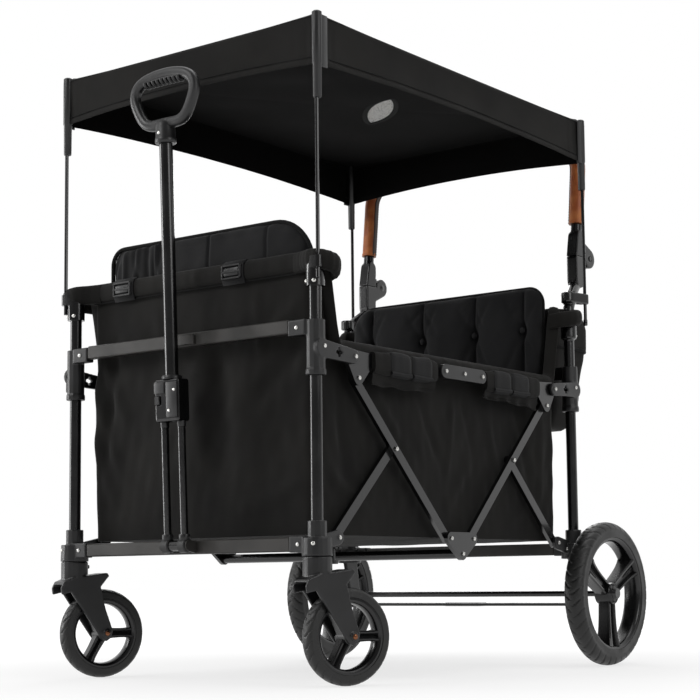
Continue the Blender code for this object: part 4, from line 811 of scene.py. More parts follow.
# %% The window's outline, and its hole
WINDOW_AT, LEAF_W, LEAF_L, LEAF_TURN, LEAF_POINTS = np.array((0.044, 0.1045)), 0.029, 0.094, radians(-44), 72
leaf_along = np.array((cos(LEAF_TURN), sin(LEAF_TURN)))
leaf_aside = np.array((-sin(LEAF_TURN), cos(LEAF_TURN)))
leaf_angle = tau * np.arange(LEAF_POINTS) / LEAF_POINTS
leaf_v = LEAF_W * np.sin(leaf_angle) * np.abs(np.sin(leaf_angle)) ** 0.45 + 0.006 * np.cos(leaf_angle) ** 3
window_edge = WINDOW_AT + np.outer(LEAF_L * np.cos(leaf_angle), leaf_along) + np.outer(leaf_v, leaf_aside)


def inside_window(x, y):
    """Whether a point lies in the outline, drawn a little smaller."""
    near = WINDOW_AT + (window_edge - WINDOW_AT) * 0.96
    hit = False
    for (ax, ay), (bx, by) in zip(near, np.roll(near, -1, axis=0)):
        if (ay > y) != (by > y) and x < (bx - ax) * (y - ay) / (by - ay) + ax:
            hit = not hit
    return hit


cut = bmesh.new()
cut.from_mesh(canopy.data)
middles = {f: f.calc_center_median() for f in cut.faces if len(f.verts) == 4}
holes = [f for f, at in middles.items() if at.z > 1.12 and inside_window(at.x, at.y - MOVED_Y)]
bmesh.ops.delete(cut, geom=holes, context="FACES")
cut.to_mesh(canopy.data)
cut.free()
# The inner face of the roof and valance takes the painted shade colour.
canopy.data.materials.append(PAINTED_SHADE_UNDERSIDE)
thicken(canopy, 0.0012).material_offset = 1
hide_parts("canopy")
across_fold(canopy)
print("canopy", len(canopy.data.polygons), "faces,", len(holes), "cut for the window")

# %% [markdown]
# ## The window and the canopy's corners
# A leaf-shaped window of white mesh lets light through the roof. Its edge is bound with tape. At
# each corner the cloth is sewn round a black sleeve that takes the top of the pole.

# %% Window, seams and sleeves
WINDOW_Z, THREAD_GAP, THREAD_W, THREAD_T = CAN_TOP - 0.0080, 0.0030, 0.0010, 0.0006
thread_parts = []
for across, beside in ((leaf_along, leaf_aside), (leaf_aside, -leaf_along)):
    u, v = (window_edge - WINDOW_AT) @ across, (window_edge - WINDOW_AT) @ beside
    first, last = int(v.min() / THREAD_GAP), int(v.max() / THREAD_GAP)
    for level in ((k + 0.5) * THREAD_GAP for k in range(first, last + 1)):
        crossings = []
        for u0, v0, u1, v1 in zip(u, v - level, np.roll(u, -1), np.roll(v, -1) - level):
            if v0 * v1 < 0:
                crossings.append(u0 + (u1 - u0) * v0 / (v0 - v1))
        if len(crossings) == 2:
            ends = [WINDOW_AT + across * at + beside * level for at in sorted(crossings)]
            thread_parts.append(sweep([(*q, WINDOW_Z) for q in ends], four_way([(THREAD_W / 2, THREAD_T / 2)])))
window = piece("canopy_window", thread_parts, MESH_CLOTH)
print("window net of", len(thread_parts), "threads")
binding = piece("canopy_window_binding", [sweep([(*q, WINDOW_Z) for q in window_edge],
                                                strap_section(0.011, 0.0034), loop=True)], TRIM)
seam_lines = []
for height, flatten in ((0.0125, 0.0), (0.0850, 0.012)):
    inset = 0.0045 * arch * 0.8 - 0.0005
    ring = np.stack([can_x - can_nx * inset, can_y - can_ny * inset,
                     CAN_LOW + CAN_LIFT * arch + height - flatten * arch], 1)
    seam_lines.append(sweep(ring[::2], disc(0.0011, 6), loop=True))
valance_seams = piece("canopy_valance_seams", seam_lines, TRIM)
for made in (window, binding, valance_seams):
    across_fold(made)
POLE_SLEEVE = [(0.989, 0.0040), (0.989, 0.0066), (0.991, 0.0074), (1.047, 0.0078), (1.049, 0.0088),
               (1.128, 0.0090), (1.138, 0.0086), (1.140, 0.0060), (1.140, 0.0005)]
for end, end_name in ENDS:
    y = CAN_FRONT + 0.002 if end < 0 else CAN_REAR - 0.002
    parts = []
    for side, _ in SIDES:
        parts.append(turned(POLE_SLEEVE, (side * POLE_X, y, 0), "Z", 20))
        parts.append(sweep([(side * (POLE_X + 0.0048), y - end * 0.010, z) for z in (1.044, 1.09, 1.134)],
                           strap_section(0.024, 0.0030), up=(side, 0, 0)))
    attach(piece(f"canopy_sleeves_{end_name}_end", parts, NYLON), f"{end_name}_end")

# %% [markdown]
# ## Pads
# Seat backs and cushions are bags of cloth with a foam or board inside, sewn through in channels.
# Each starts as a closed form with its channels already shallow. The cloth simulation then
# presses the skin out from inside while the seam lines stay pinned, so the cloth swells between
# them and pulls into small creases beside the seams.

# %% A padded form and its simulation
def pad_form(half_w, half_h, front, back, corners, seams, grid=(60, 44)):
    """A closed pad, drawn upright: across along X, height along Z, front face towards +Y."""
    nu, nv = grid
    u, v = np.meshgrid(np.linspace(-1, 1, nu + 1), np.linspace(-1, 1, nv + 1))
    x, z = u * half_w, v * half_h
    for sx, sz, radius in corners:
        cx, cz = sx * (half_w - radius), sz * (half_h - radius)
        inside = (sx * (x - cx) > 0) & (sz * (z - cz) > 0)
        dx, dz = np.abs(x - cx), np.abs(z - cz)
        square = np.maximum(dx, dz) + 1e-9
        scale = np.where(inside, square / np.sqrt(dx ** 2 + dz ** 2 + 1e-12), 1.0)
        x = np.where(inside, cx + (x - cx) * scale, x)
        z = np.where(inside, cz + (z - cz) * scale, z)
    edge = np.maximum((1 - np.abs(u) ** 9) * (1 - np.abs(v) ** 7), 0) ** 0.5
    dip = 1 - sum(0.55 * np.exp(-((u * half_w - seam) / 0.007) ** 2) for seam in seams)
    faces_xyz = [np.stack([x, y, z], 2).reshape(-1, 3) for y in (front * edge * dip, -back * edge)]
    points = [tuple(p) for face in faces_xyz for p in face]
    half = (nu + 1) * (nv + 1)
    faces = []
    for a in (j * (nu + 1) + i for j in range(nv) for i in range(nu)):
        quad = (a, a + 1, a + nu + 2, a + nu + 1)
        faces += [quad, tuple(half + k for k in quad[::-1])]
    return points, faces


CLOTH_STEPS = 14
PAD_VOXEL = 0.0050
CLOTH = {"use_pressure": True, "uniform_pressure_force": 4.0, "vertex_group_mass": "pins", "quality": 4,
         "mass": 0.3, "tension_stiffness": 12, "compression_stiffness": 8, "bending_stiffness": 0.4}


def places(mesh):
    flat = np.zeros(len(mesh.vertices) * 3)
    mesh.vertices.foreach_get("co", flat)
    return flat.reshape(-1, 3)


def plump(obj, pinned, cap):
    """Remesh, press out from inside with the pinned points held, cap the travel, and refine."""
    for vertex in obj.data.vertices:
        vertex.co.y -= MOVED_Y
    remesh = obj.modifiers.new("Even mesh", "REMESH")
    remesh.mode, remesh.voxel_size = "VOXEL", PAD_VOXEL
    obj.data = mesh = baked(obj)
    obj.modifiers.clear()
    start = places(mesh)
    held = [int(k) for k in np.nonzero(pinned(start))[0]]
    obj.vertex_groups.new(name="pins").add(held, 1.0, "REPLACE")
    cloth = obj.modifiers.new("Cloth", "CLOTH")
    for key, value in CLOTH.items():
        setattr(cloth.settings, key, value)
    cloth.settings.effector_weights.gravity = 0
    for number in range(1, CLOTH_STEPS + 1):
        SCENE.frame_set(number)
    travel = places(obj.evaluated_get(bpy.context.evaluated_depsgraph_get()).data) - start
    obj.modifiers.clear()
    obj.vertex_groups.clear()
    SCENE.frame_set(1)
    far = np.linalg.norm(travel, axis=1, keepdims=True)
    moved = start + travel * np.minimum(1.0, cap / np.maximum(far, 1e-9))
    mesh.vertices.foreach_set("co", moved.ravel())
    refine = obj.modifiers.new("Fine", "SUBSURF")
    refine.levels = refine.render_levels = 1
    obj.data = baked(obj)
    obj.modifiers.clear()
    obj.data.shade_smooth()


def finish_pad(obj, place, body, stands_for):
    """Move a finished pad to its place in the drawing, and the drawing to the wagon."""
    obj.data.transform(Matrix.Translation((0, MOVED_Y, 0)) @ place)
    obj.data.update()
    attach(obj, body, stands_for)
    print(obj.name, len(obj.data.polygons), "faces")


def pad_piping(name, half_w, half_h, corners, place, radius, up, body):
    """A cord of binding round a pad, from one lower corner round the top to the other."""
    path = []
    for (sx, sz, corner), first in zip(corners, (1.5 * pi, pi, 0.5 * pi, 0.0)):
        cx, cz = sx * (half_w - corner), sz * (half_h - corner)
        for angle in (first - pi / 2 * k / 12 for k in range(13)):
            path.append(place @ Vector((cx + corner * cos(angle), 0.0, cz + corner * sin(angle))))
    attach(piece(name, [sweep(path, disc(radius, 8), up=up, loop=True)], TRIM), body)


# %% The two backs
BACK_LOW, BACK_FRONT, BACK_BEHIND, TUFT_UP, SEAM_W = 0.420, 0.0225, 0.0115, 0.088, 0.0035
# Each back: its middle in Y, its top, its top corners, its half width, its aside, and its seams.
BACKS = {"front": (0.3788, 0.806, (0.030, 0.085), 0.246, 0.010, (-0.128, 0.008, 0.144)),
         "rear": (0.3798, 0.782, (0.034, 0.052), 0.247, 0.010, (-0.202, -0.083, 0.052, 0.190))}
# Creases that run out from each tuft: sideways reach, upward reach and depth.
TUFT_CREASES = ((0.05, -0.11, 0.0030), (-0.05, -0.10, 0.0028), (0.045, 0.075, 0.0022),
                (-0.045, 0.080, 0.0022), (0.012, -0.15, 0.0030), (-0.030, -0.14, -0.0022))
for end, end_name in ENDS:
    y_mid, top, round_top, back_x, aside_x, seams = BACKS[end_name]
    half_h = (top - BACK_LOW) / 2
    corners = ((-1, -1, 0.02), (-1, 1, round_top[0]), (1, 1, round_top[1]), (1, -1, 0.02))
    back = piece(f"{end_name}_back_pad",
                 [pad_form(back_x, half_h - 0.002, BACK_FRONT, BACK_BEHIND, corners, seams)], PADDING)

    def on_seams(p, half_h=half_h, seams=seams):
        seam = np.min([np.abs(p[:, 0] - x) for x in seams], axis=0) < SEAM_W
        return seam & (p[:, 1] > 0) & (np.abs(p[:, 2]) < half_h - 0.02) | (p[:, 1] < -0.008)

    plump(back, on_seams, 0.006)
    points = places(back.data)
    x, y, z = points.T
    tuft, gathers = np.zeros_like(x), np.zeros_like(x)
    for seam in seams:
        groove = np.exp(-((x - seam) / 0.0030) ** 2)
        tuft += 0.009 * np.exp(-((x - seam) ** 2 + (z - TUFT_UP) ** 2) / 0.014 ** 2)
        tuft += folds(x, z, [(seam, TUFT_UP, seam + lean_x, TUFT_UP + lean_z, 0.007, depth)
                             for lean_x, lean_z, depth in TUFT_CREASES])
        tuft += 0.0032 * groove * (np.abs(z) < half_h - 0.012)
        gathers += 0.0030 * groove * (np.abs(z) < half_h - 0.010)
    for k in range(7):
        from_x = -0.225 + 0.019 * k
        to_x, to_z = from_x + 0.018 * (k % 3 - 0.6), half_h - 0.11 - 0.02 * (k % 2)
        gathers += fold(x, z, (from_x, half_h + 0.02), (to_x, to_z), 0.0060, -0.0048 if k % 2 else 0.0044)
    points[:, 1] = (y - step(0.0, 0.01, y) * (tuft + 0.0010 * drift(x, z, 20, 0.06))
                    + step(0.0, 0.006, -y) * (gathers + 0.0008 * drift(x, z, 21, 0.05)))
    back.data.vertices.foreach_set("co", points.ravel())
    facing = Matrix.Rotation(0 if end < 0 else pi, 4, "Z")
    stand = Matrix.Translation((aside_x, end * y_mid, BACK_LOW + half_h)) @ facing
    body = f"{end_name}_end"
    finish_pad(back, stand, body, f"{end_name}_seat_back")
    pad_piping(f"{end_name}_back_piping", back_x - 0.0030, half_h - 0.0048, corners, stand, 0.0040,
               (0, 1, 0), body)
    scatter(f"{end_name}_back_knots", KNOTS, 0.0062,
            [(stand @ Vector((seam, 0.0165, TUFT_UP)), (0, -end, 0)) for seam in seams], body)

# %% The two seat cushions
SEAT_X, SEAT_DEPTH, SEAT_TOP, SEAT_T, SEAT_ROUND = 0.2565, 0.230, 0.452, 0.045, 0.018
seat_corners = [(sx, sz, SEAT_ROUND) for sx, sz in ((-1, -1), (-1, 1), (1, 1), (1, -1))]


def on_quilt(p):
    return ((np.abs(p[:, 0]) < SEAM_W) & (p[:, 1] > 0)) | (p[:, 1] < -0.012)


for end, end_name in ENDS:
    cushion = piece(f"{end_name}_cushion_pad",
                    [pad_form(SEAT_X, SEAT_DEPTH / 2 - 0.002, 0.0185, 0.0165, seat_corners, (0.0,))], PADDING)
    plump(cushion, on_quilt, 0.004)
    seat_y = end * (0.3495 - 0.004 - SEAT_DEPTH / 2)
    lie = Matrix.Translation((0, seat_y, SEAT_TOP - SEAT_T * 0.52)) @ Matrix.Rotation(pi / 2, 4, "X")
    body = f"{end_name}_seat"
    finish_pad(cushion, lie, body, f"{end_name}_seat_cushion")
    pad_piping(f"{end_name}_cushion_piping", SEAT_X - 0.0020, SEAT_DEPTH / 2 - 0.0036, seat_corners, lie,
               0.0036, (0, 0, 1), body)

# %% [markdown]
# ## Wheels
# The rear tyres are air-filled, with slanting cuts from each shoulder towards the middle of the
# tread. A fine turned mesh is drawn first, and points that lie in a cut are pulled in. The casters
# have a smaller version of the same tread. Both kinds of rim have three moulded spokes.

# %% Tyres with cut treads
CUT_HALF, TREAD_DEPTH = 0.09, 0.0020


def tyre_part(centre, radius, rim, half, bead, steps, cuts, slant, around):
    """A round-shouldered tyre, its tread points pulled in along slanting cuts."""
    section = [(-bead, rim - 0.002)]
    for share in (k / steps for k in range(steps + 1)):
        x = -cos(pi * share)
        x = abs(x) ** 0.92 * (1 if x > 0 else -1) * half * (1.0 if 0.1 < share < 0.9 else 0.93)
        section.append((x, rim + (radius - rim) * sin(pi * share) ** 0.62))
    px, pr = np.array(section + [(bead, rim - 0.002)]).T
    s = px / half
    tread = step(0.865, 0.90, pr / radius) * step(0.05, 0.16, np.abs(s))
    rows = []
    for turn in (k / around for k in range(around)):
        phase = cuts * turn + slant * np.abs(s) ** 1.4 + np.where(s > 0, 0.5, 0.0)
        near = np.abs(phase - np.floor(phase) - 0.5)
        r = pr - TREAD_DEPTH * (1 - np.clip(near / CUT_HALF, 0, 1) ** 4) * (near < CUT_HALF) * tread
        rows.append([(centre[0] + x, centre[1] + q * cos(tau * turn), centre[2] + q * sin(tau * turn))
                     for x, q in zip(px, r)])
    return rings(rows, loop=True)


def spokes(centre, first, reaches, section, scale, count=3):
    """Spokes that run out from a hub, each a section swept from reach to reach."""
    x, y, z = centre
    return [sweep([(x, y + r * cos(a), z + r * sin(a)) for r in reaches], section, up=(1, 0, 0), scale=scale)
            for a in (first + tau * k / count for k in range(count))]


# The solids' wheels were cut with flat sides, so their floor contact lies inside their radius.
AXLE_Z, CASTER_AXLE_Z = 0.145 * cos(pi / 28), 0.0825 * cos(pi / 24)
for side, side_name in SIDES:
    tyre = tyre_part((side * REAR_WHEEL_X, AXLE_Y, AXLE_Z), AXLE_Z, 0.1135, 0.0226, 0.0170, 26, 38,
                     0.9 * side, 640)
    attach(piece(f"rear_tyre_tread_{side_name}", [tyre], RUBBER, 50), f"rear_wheel_{side_name}",
           f"rear_tyre_{side_name}")

# %% Rear rims with three broad spokes
RIM = mirrored([(0.0, 0.1032), (0.0120, 0.1042), (0.0165, 0.1065), (0.0190, 0.1095), (0.0196, 0.1140),
                (0.0180, 0.1175)])
BROAD = four_way([(0.0165, 0.0), (0.0155, 0.0125), (0.0130, 0.0150), (0.0095, 0.0145), (0.0068, 0.0070)])
for side, side_name in SIDES:
    centre = (side * REAR_WHEEL_X, AXLE_Y, AXLE_Z)
    low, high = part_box(f"rear_wheel_{side_name}")
    hub_in, hub_out = sorted((abs(low.x) - REAR_WHEEL_X, abs(high.x) - REAR_WHEEL_X))
    hub_profile = [(side * along, radius) for along, radius in (
        (hub_in, 0.0070), (hub_in, 0.0150), (hub_in + 0.002, 0.0180), (-0.016, 0.0215), (0.016, 0.0215),
        (hub_out - 0.006, 0.0185), (hub_out - 0.004, 0.0165), (hub_out - 0.0015, 0.0155),
        (hub_out, 0.0130), (hub_out, 0.0070))]
    parts = [turned(RIM, centre, "X", 112), turned(hub_profile, centre, "X", 40)]
    parts += spokes(centre, pi / 6, (0.012, 0.022, 0.034, 0.048, 0.062, 0.076, 0.088, 0.098, 0.1055), BROAD,
                    (0.80, 0.86, 0.88, 0.90, 0.94, 1.00, 1.08, 1.18, 1.30))
    parts += spokes(centre, pi / 6, (0.056, 0.066, 0.078, 0.090, 0.100), oval(0.0040, 0.0100, 12),
                    (0.4, 0.8, 1.0, 1.1, 1.2))
    body = f"rear_wheel_{side_name}"
    attach(piece(f"rear_rim_{side_name}", parts, GLOSS_NYLON, 35), body, f"rear_wheel_{side_name}")
    scatter(f"rear_hub_bolt_{side_name}", RIVETS, 0.0085,
            [((side * (REAR_WHEEL_X + hub_out - 0.001), AXLE_Y, AXLE_Z), (side, 0, 0))], body, NYLON)

# %% Caster wheels, which stand turned a little in the rest pose
CASTER_TURN, CASTER_TRAIL = radians(-20), 0.055
CASTER_RIM = mirrored([(0.0, 0.0545), (0.0085, 0.0552), (0.0118, 0.0575), (0.0138, 0.0608), (0.0135, 0.0648)])
CASTER_HUB = mirrored([(0.0168, 0.0046), (0.0168, 0.0118), (0.0150, 0.0138)])
CASTER_SPOKE = four_way([(0.0100, 0.0095), (0.0080, 0.0116), (0.0052, 0.0116), (0.0, 0.0060)])
for side, side_name in SIDES:
    centre = x, y, z = side * POST_X, CASTER_TRAIL - POST_Y, CASTER_AXLE_Z
    tread = piece(f"caster_tyre_{side_name}",
                  [tyre_part(centre, CASTER_AXLE_Z, 0.0650, 0.0160, 0.0120, 20, 26, 0.9, 520)], RUBBER, 50)
    wheel = piece(f"caster_rim_{side_name}",
                  [turned(CASTER_RIM, centre, "X", 96), turned(CASTER_HUB, centre, "X", 32)]
                  + spokes(centre, 0.0, (0.008, 0.020, 0.034, 0.048, 0.0565), CASTER_SPOKE,
                           (1.0, 0.92, 0.86, 0.88, 1.02)), GLOSS_NYLON, 35)
    attach(tread, f"caster_wheel_{side_name}", f"caster_wheel_{side_name}")
    attach(wheel, f"caster_wheel_{side_name}")
    bolts = scatter(f"caster_bolts_{side_name}", RIVETS, 0.0048,
                    [((x + s * 0.0282, y, z), (s, 0, 0)) for s in (-1, 1)], f"caster_{side_name}", BRASS)
    pivot = Matrix.Translation((side * POST_X, MOVED_Y - POST_Y, 0))
    for made in (tread, wheel, bolts):
        made.data.transform(pivot @ Matrix.Rotation(CASTER_TURN, 4, "Z") @ pivot.inverted())

# %% [markdown]
# ## The storage bag
# A soft bag hangs behind the rear end. It is a lofted shell that is fullest above its middle and
# sags at its foot, with a lid that laps over the front and a bound edge.

# %% The bag
BAG_X, BAG_NEAR, BAG_D, BAG_LOW, BAG_TOP = 0.238, 0.4370, 0.160, 0.490, 0.733
BAG_STEPS, BAG_POINTS = 40, 150
# Folds in its far wall, drawn across and up: start, end, width and height.
BAG_FOLDS = ((-0.22, 0.70, -0.10, 0.56, 0.014, 0.006), (0.22, 0.69, 0.12, 0.53, 0.014, 0.006),
             (-0.05, 0.70, -0.02, 0.52, 0.018, -0.005), (0.07, 0.66, 0.04, 0.50, 0.015, 0.005),
             (-0.23, 0.58, -0.14, 0.50, 0.012, 0.005), (0.23, 0.57, 0.16, 0.50, 0.012, 0.005))
bag_rows = []
for t in (k / BAG_STEPS for k in range(BAG_STEPS + 1)):
    width = 0.90 + 0.10 * min(1, t * 5) ** 0.5 - 0.02 * max(0, t - 0.9) / 0.1
    deep = 0.62 + 0.38 * min(1, t / 0.75) ** 0.7 - 0.04 * max(0, t - 0.94) / 0.06
    ring = outline_of(BAG_X * width, BAG_NEAR, BAG_NEAR + BAG_D * deep, 0.024, 0.009)[:2].T
    ring = np.vstack([ring, ring[:1]])
    lengths = np.concatenate([[0], np.cumsum(np.linalg.norm(np.diff(ring, axis=0), axis=1))])
    even = np.linspace(0, lengths[-1], BAG_POINTS, endpoint=False)
    ex, ey = (np.interp(even, lengths, ring[:, i]) for i in range(2))
    ez = np.full_like(ex, BAG_LOW + (BAG_TOP - BAG_LOW) * t)
    far = step(BAG_NEAR + 0.02, BAG_NEAR + 0.05, ey)
    wave = 0.0035 * drift(ex, ez, 31, 0.12) + 0.002 * drift(ex * 2, ez, 32, 0.05)
    wave = (wave + folds(ex, ez, BAG_FOLDS)) * far
    bag_rows.append(np.stack([ex * (1 + wave * 0.8), ey + wave * 0.8 - 0.005 * far, ez], 1))
bag = piece("storage_bag_cloth", [rings(bag_rows)], CANVAS, 50)
attach(bag, "rear_end", "storage_bag")

# %% Its lid, binding, straps and clips
LID_ROW, LID_OUT, LID_CLEAR, STRAPS_X, CLIP_ROW = 29, 0.0026, 0.0020, (-0.130, 0.130), 22
bag_middle = np.array((0.0, BAG_NEAR + BAG_D * 0.5))
lid_rows = []
for k in range(LID_ROW, BAG_STEPS + 1):
    row = bag_rows[k].copy()
    outward = row[:, :2] - bag_middle
    outward /= np.maximum(np.abs(outward) / np.array((BAG_X, BAG_D * 0.5)), 1e-6).max(axis=1, keepdims=True)
    outward /= np.linalg.norm(outward, axis=1, keepdims=True)
    row[:, :2] += outward * LID_OUT * np.array((1.0, 0.9))
    row[:, 1] = np.maximum(row[:, 1], BAG_NEAR + LID_CLEAR)
    if k == LID_ROW:
        row[:, 2] += 0.004 * np.sin(row[:, 0] * 28) - 0.004
    lid_rows.append(row)
rim_row = lid_rows[-1]
for share in (0.97, 0.92, 0.85, 0.74, 0.60, 0.44, 0.27, 0.10):
    flat = bag_middle + (rim_row[:, :2] - bag_middle) * share
    crown = 0.0085 * (1 - share ** 3) + 0.0012 * drift(flat[:, 0], flat[:, 1], 41, 0.10)
    lid_rows.append(np.column_stack([flat, BAG_TOP + 0.0010 + crown]))
lid = piece("storage_bag_lid", [sheet_part(lid_rows, fill_last=True)], CANVAS, 60)
thicken(lid, 0.0016, 1.0)
lid_edge = [(q[0], max(q[1], BAG_NEAR + 0.0032), q[2]) for q in lid_rows[0][::2]]
lid_binding = piece("storage_bag_binding", [sweep(lid_edge, oval(0.0022, 0.0042, 8), loop=True)], TRIM)
strap_parts, clip_parts = [], []
for x in STRAPS_X:
    far_y = []
    for row in bag_rows:
        outer = row[row[:, 1] > BAG_NEAR + 0.07]
        outer = outer[np.argsort(outer[:, 0])]
        far_y.append(float(np.interp(x, outer[:, 0], outer[:, 1])))
    down = [(x, far_y[k] + 0.0062, bag_rows[k][0, 2]) for k in range(10, BAG_STEPS, 2)]
    over = [(x, far_y[-1] - 0.004, BAG_TOP + 0.0072), (x, BAG_NEAR + 0.110, BAG_TOP + 0.0100),
            (x, BAG_NEAR + 0.060, BAG_TOP + 0.0100), (x, BAG_NEAR + 0.004, BAG_TOP + 0.0060)]
    ups = [(0, 1, 0)] * len(down) + [(0, 0.7, 0.7), (0, 0, 1), (0, 0, 1), (0, 0, 1)]
    strap_parts.append(sweep(down + over, strap_section(0.024, 0.0022), up=ups))
    clip_y, clip_z = far_y[CLIP_ROW], bag_rows[CLIP_ROW][0, 2]
    clip_parts.append(box_part((x - 0.0165, clip_y + 0.0048, clip_z - 0.020),
                               (x + 0.0165, clip_y + 0.0128, clip_z + 0.022), 0.003))
# The rear poles end in small feet below the rear sleeves.
TAIL = [(0.700, 0.0005), (0.7004, 0.0034), (0.702, 0.0044), (0.712, 0.0044), (0.714, 0.0036), (0.750, 0.0036)]
tails = [turned(TAIL, (side * POLE_X, CAN_REAR, 0), "Z", 14) for side, _ in SIDES]
for made in (lid, lid_binding, piece("storage_bag_straps", strap_parts, WEBBING),
             piece("storage_bag_clips", clip_parts, NYLON), piece("rear_pole_tails", tails, LACQUER)):
    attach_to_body(made, "rear_end")

# %% [markdown]
# ## The leather grip
# The push handle's bent tube is wrapped in leather that is sewn along its inner side.

# %% Leather sleeve
PUSH_X, PUSH_R, PUSH_BEND, PUSH_TOP, PUSH_FOOT = 0.276, 0.0155, 0.055, 1.1, 0.9253
BEND_X, BEND_Z, BEND_STEPS, TOP_STEPS = PUSH_X - PUSH_BEND, PUSH_TOP - PUSH_BEND, 12, 36


def upright(z):
    """The push handle's upright leans back as it rises."""
    return 0.480 + 0.026 * (z - 0.853) / 0.247


def grip_point(x, z):
    return x, upright(z), z


legs = [PUSH_FOOT + 0.012 * k for k in range(11)]
bend = [(BEND_X + PUSH_BEND * cos(a), BEND_Z + PUSH_BEND * sin(a))
        for a in (pi / 2 * k / BEND_STEPS for k in range(1, BEND_STEPS + 1))]
grip_path = [grip_point(PUSH_X, z) for z in legs] + [grip_point(x, z) for x, z in bend]
grip_path += [grip_point(BEND_X - 2 * BEND_X * k / TOP_STEPS, PUSH_TOP) for k in range(1, TOP_STEPS + 1)]
grip_path += [grip_point(-x, z) for x, z in bend[-2::-1] + [(PUSH_X, BEND_Z)]]
grip_path += [grip_point(-PUSH_X, z) for z in legs[-2::-1]]
attach(piece("leather_sleeve", [sweep(grip_path, disc(PUSH_R, 28), up=(0, 1, 0))], LEATHER, 60), "push_handle",
       "leather_grip")

# %% The sewn inner strip
strip_path, strip_up = [], []
for point in grip_path:
    x, _, z = point
    if abs(x) <= BEND_X + 0.0002:
        inward = Vector((0, 0, -1))
    elif z > BEND_Z + 0.0005:
        inward = -Vector((x - (BEND_X if x > 0 else -BEND_X), 0, z - BEND_Z)).normalized()
    else:
        inward = Vector((-1 if x > 0 else 1, 0, 0))
    strip_path.append(Vector(point) + inward * (PUSH_R - 0.0004))
    strip_up.append(tuple(inward))
strip = piece("leather_strip", [sweep(strip_path, strap_section(0.013, 0.0022), up=strip_up)], LEATHER_STRIP)
stitch_spots = []
for before, here, inward in zip(strip_path, strip_path[1:], strip_up[1:]):
    for beside in (-0.0058, 0.0058):
        for share in (0.25, 0.75):
            at = before + (here - before) * share + Vector((0, beside, 0)) + Vector(inward) * 0.0010
            stitch_spots.append((at, (here - before).normalized()))
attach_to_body(strip, "push_handle")
scatter("leather_stitches", STITCHES, 0.0026, stitch_spots, "push_handle")
cuff_y = upright(PUSH_FOOT)
cuffs = [sweep([(side * PUSH_X, cuff_y - 0.0001, PUSH_FOOT - 0.0012),
                (side * PUSH_X, cuff_y + 0.0004, PUSH_FOOT + 0.0045)],
               disc(PUSH_R + 0.0010, 28), up=(0, 1, 0)) for side, _ in SIDES]
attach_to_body(piece("leather_cuffs", cuffs, LEATHER), "push_handle")

# %% [markdown]
# ## The pull handle's grip
# The D-shaped grip is one smooth moulded ring with a row of finger ribs under its top bar. It
# leans forward with the tube below it, so it is drawn upright and then turned about the hinge.

# %% The grip ring, its ribs and its socket
PULL_Y, PULL_HINGE_Z, TWIN_X = -0.452, 0.238, 0.020
hinge = Matrix.Translation((0, PULL_Y, PULL_HINGE_Z))
LEAN = hinge @ Matrix.Rotation(radians(2.2), 4, "X") @ hinge.inverted()


def leaned(parts):
    return [([LEAN @ Vector(p) for p in points], faces) for points, faces in parts]


def on_tube(x, profile, sides):
    """A collar turned round an upright tube of the pull handle."""
    return turned(profile, (x, PULL_Y, 0), "Z", sides)


half_ring = [(0.0, 0.9875), (0.034, 0.9880), (0.052, 0.9985), (0.066, 1.0220), (0.0720, 1.0420),
             (0.0665, 1.0590), (0.0500, 1.0700), (0.0250, 1.0755), (0.0, 1.0770)]
ring_path = smooth_path([(x, PULL_Y, z) for x, z in mirrored(half_ring)], 6, loop=True)
under_bar = [(x, PULL_Y, 1.0660 + 0.0015 * (1 - abs(x) / 0.05)) for x in np.linspace(-0.050, 0.050, 11)]
grip_parts = [sweep(ring_path, oval(0.0098, 0.0090, 20, 0.8), up=(0, 1, 0), loop=True),
              sweep(under_bar, oval(0.0070, 0.0075, 16), up=(0, 1, 0),
                    scale=[0.55, 0.85, 1, 1, 1, 1, 1, 1, 1, 0.85, 0.55]),
              on_tube(0, [(0.9505, 0.0124), (0.9505, 0.0178), (0.9520, 0.0190), (0.9600, 0.0190),
                          (0.9610, 0.0182), (0.9800, 0.0176), (0.9870, 0.0160), (0.9925, 0.0120),
                          (0.9945, 0.0005)], 32)]
for x in (-0.040 + 0.010 * k for k in range(9)):
    drop = 0.0015 * (1 - abs(x) / 0.05)
    rib = [(x, PULL_Y - 0.0085 * cos(a), 1.0655 + drop - 0.0070 * sin(a)) for a in np.linspace(0, pi, 9)]
    grip_parts.append(sweep(rib, disc(0.0034, 8), up=(1, 0, 0)))
attach(piece("pull_grip_ring", leaned(grip_parts), NYLON, 50), "pull_slide", "pull_handle_grip")

# %% Eyelets, collars and plates on the yoke
EYELET = mirrored([(0.0088, 0.0060), (0.0088, 0.0108), (0.0070, 0.0128)])
yoke_parts, clamp_parts = [], [
    box_part((0.0015, PULL_Y - 0.0190, 0.462), (0.0275, PULL_Y - 0.0150, 0.524), 0.0016),
    box_part((-0.0275, PULL_Y - 0.0180, 0.505), (-0.0035, PULL_Y - 0.0150, 0.5255), 0.0012),
    on_tube(0, [(0.5295, 0.0136), (0.5295, 0.0170), (0.5310, 0.0182), (0.5345, 0.0182), (0.5365, 0.0168),
                (0.5370, 0.0136)], 28)]
for x in (TWIN_X, -TWIN_X):
    yoke_parts += [turned(EYELET, (x, PULL_Y, PULL_HINGE_Z), "X", 26),
                   on_tube(x, [(0.2475, 0.0071), (0.2475, 0.0094), (0.2495, 0.0100), (0.2560, 0.0100),
                               (0.2580, 0.0092), (0.2580, 0.0071)], 22)]
    clamp_parts.append(on_tube(x, [(0.4460, 0.0071), (0.4460, 0.0076), (0.4475, 0.0079), (0.4560, 0.0079)], 22))
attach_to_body(piece("pull_yoke_eyelets", leaned(yoke_parts), NYLON), "pull_handle")
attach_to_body(piece("pull_clamp_trim", leaned(clamp_parts), NYLON, 35), "pull_handle")
way = LEAN.to_3x3() @ Vector((0, -1, 0))
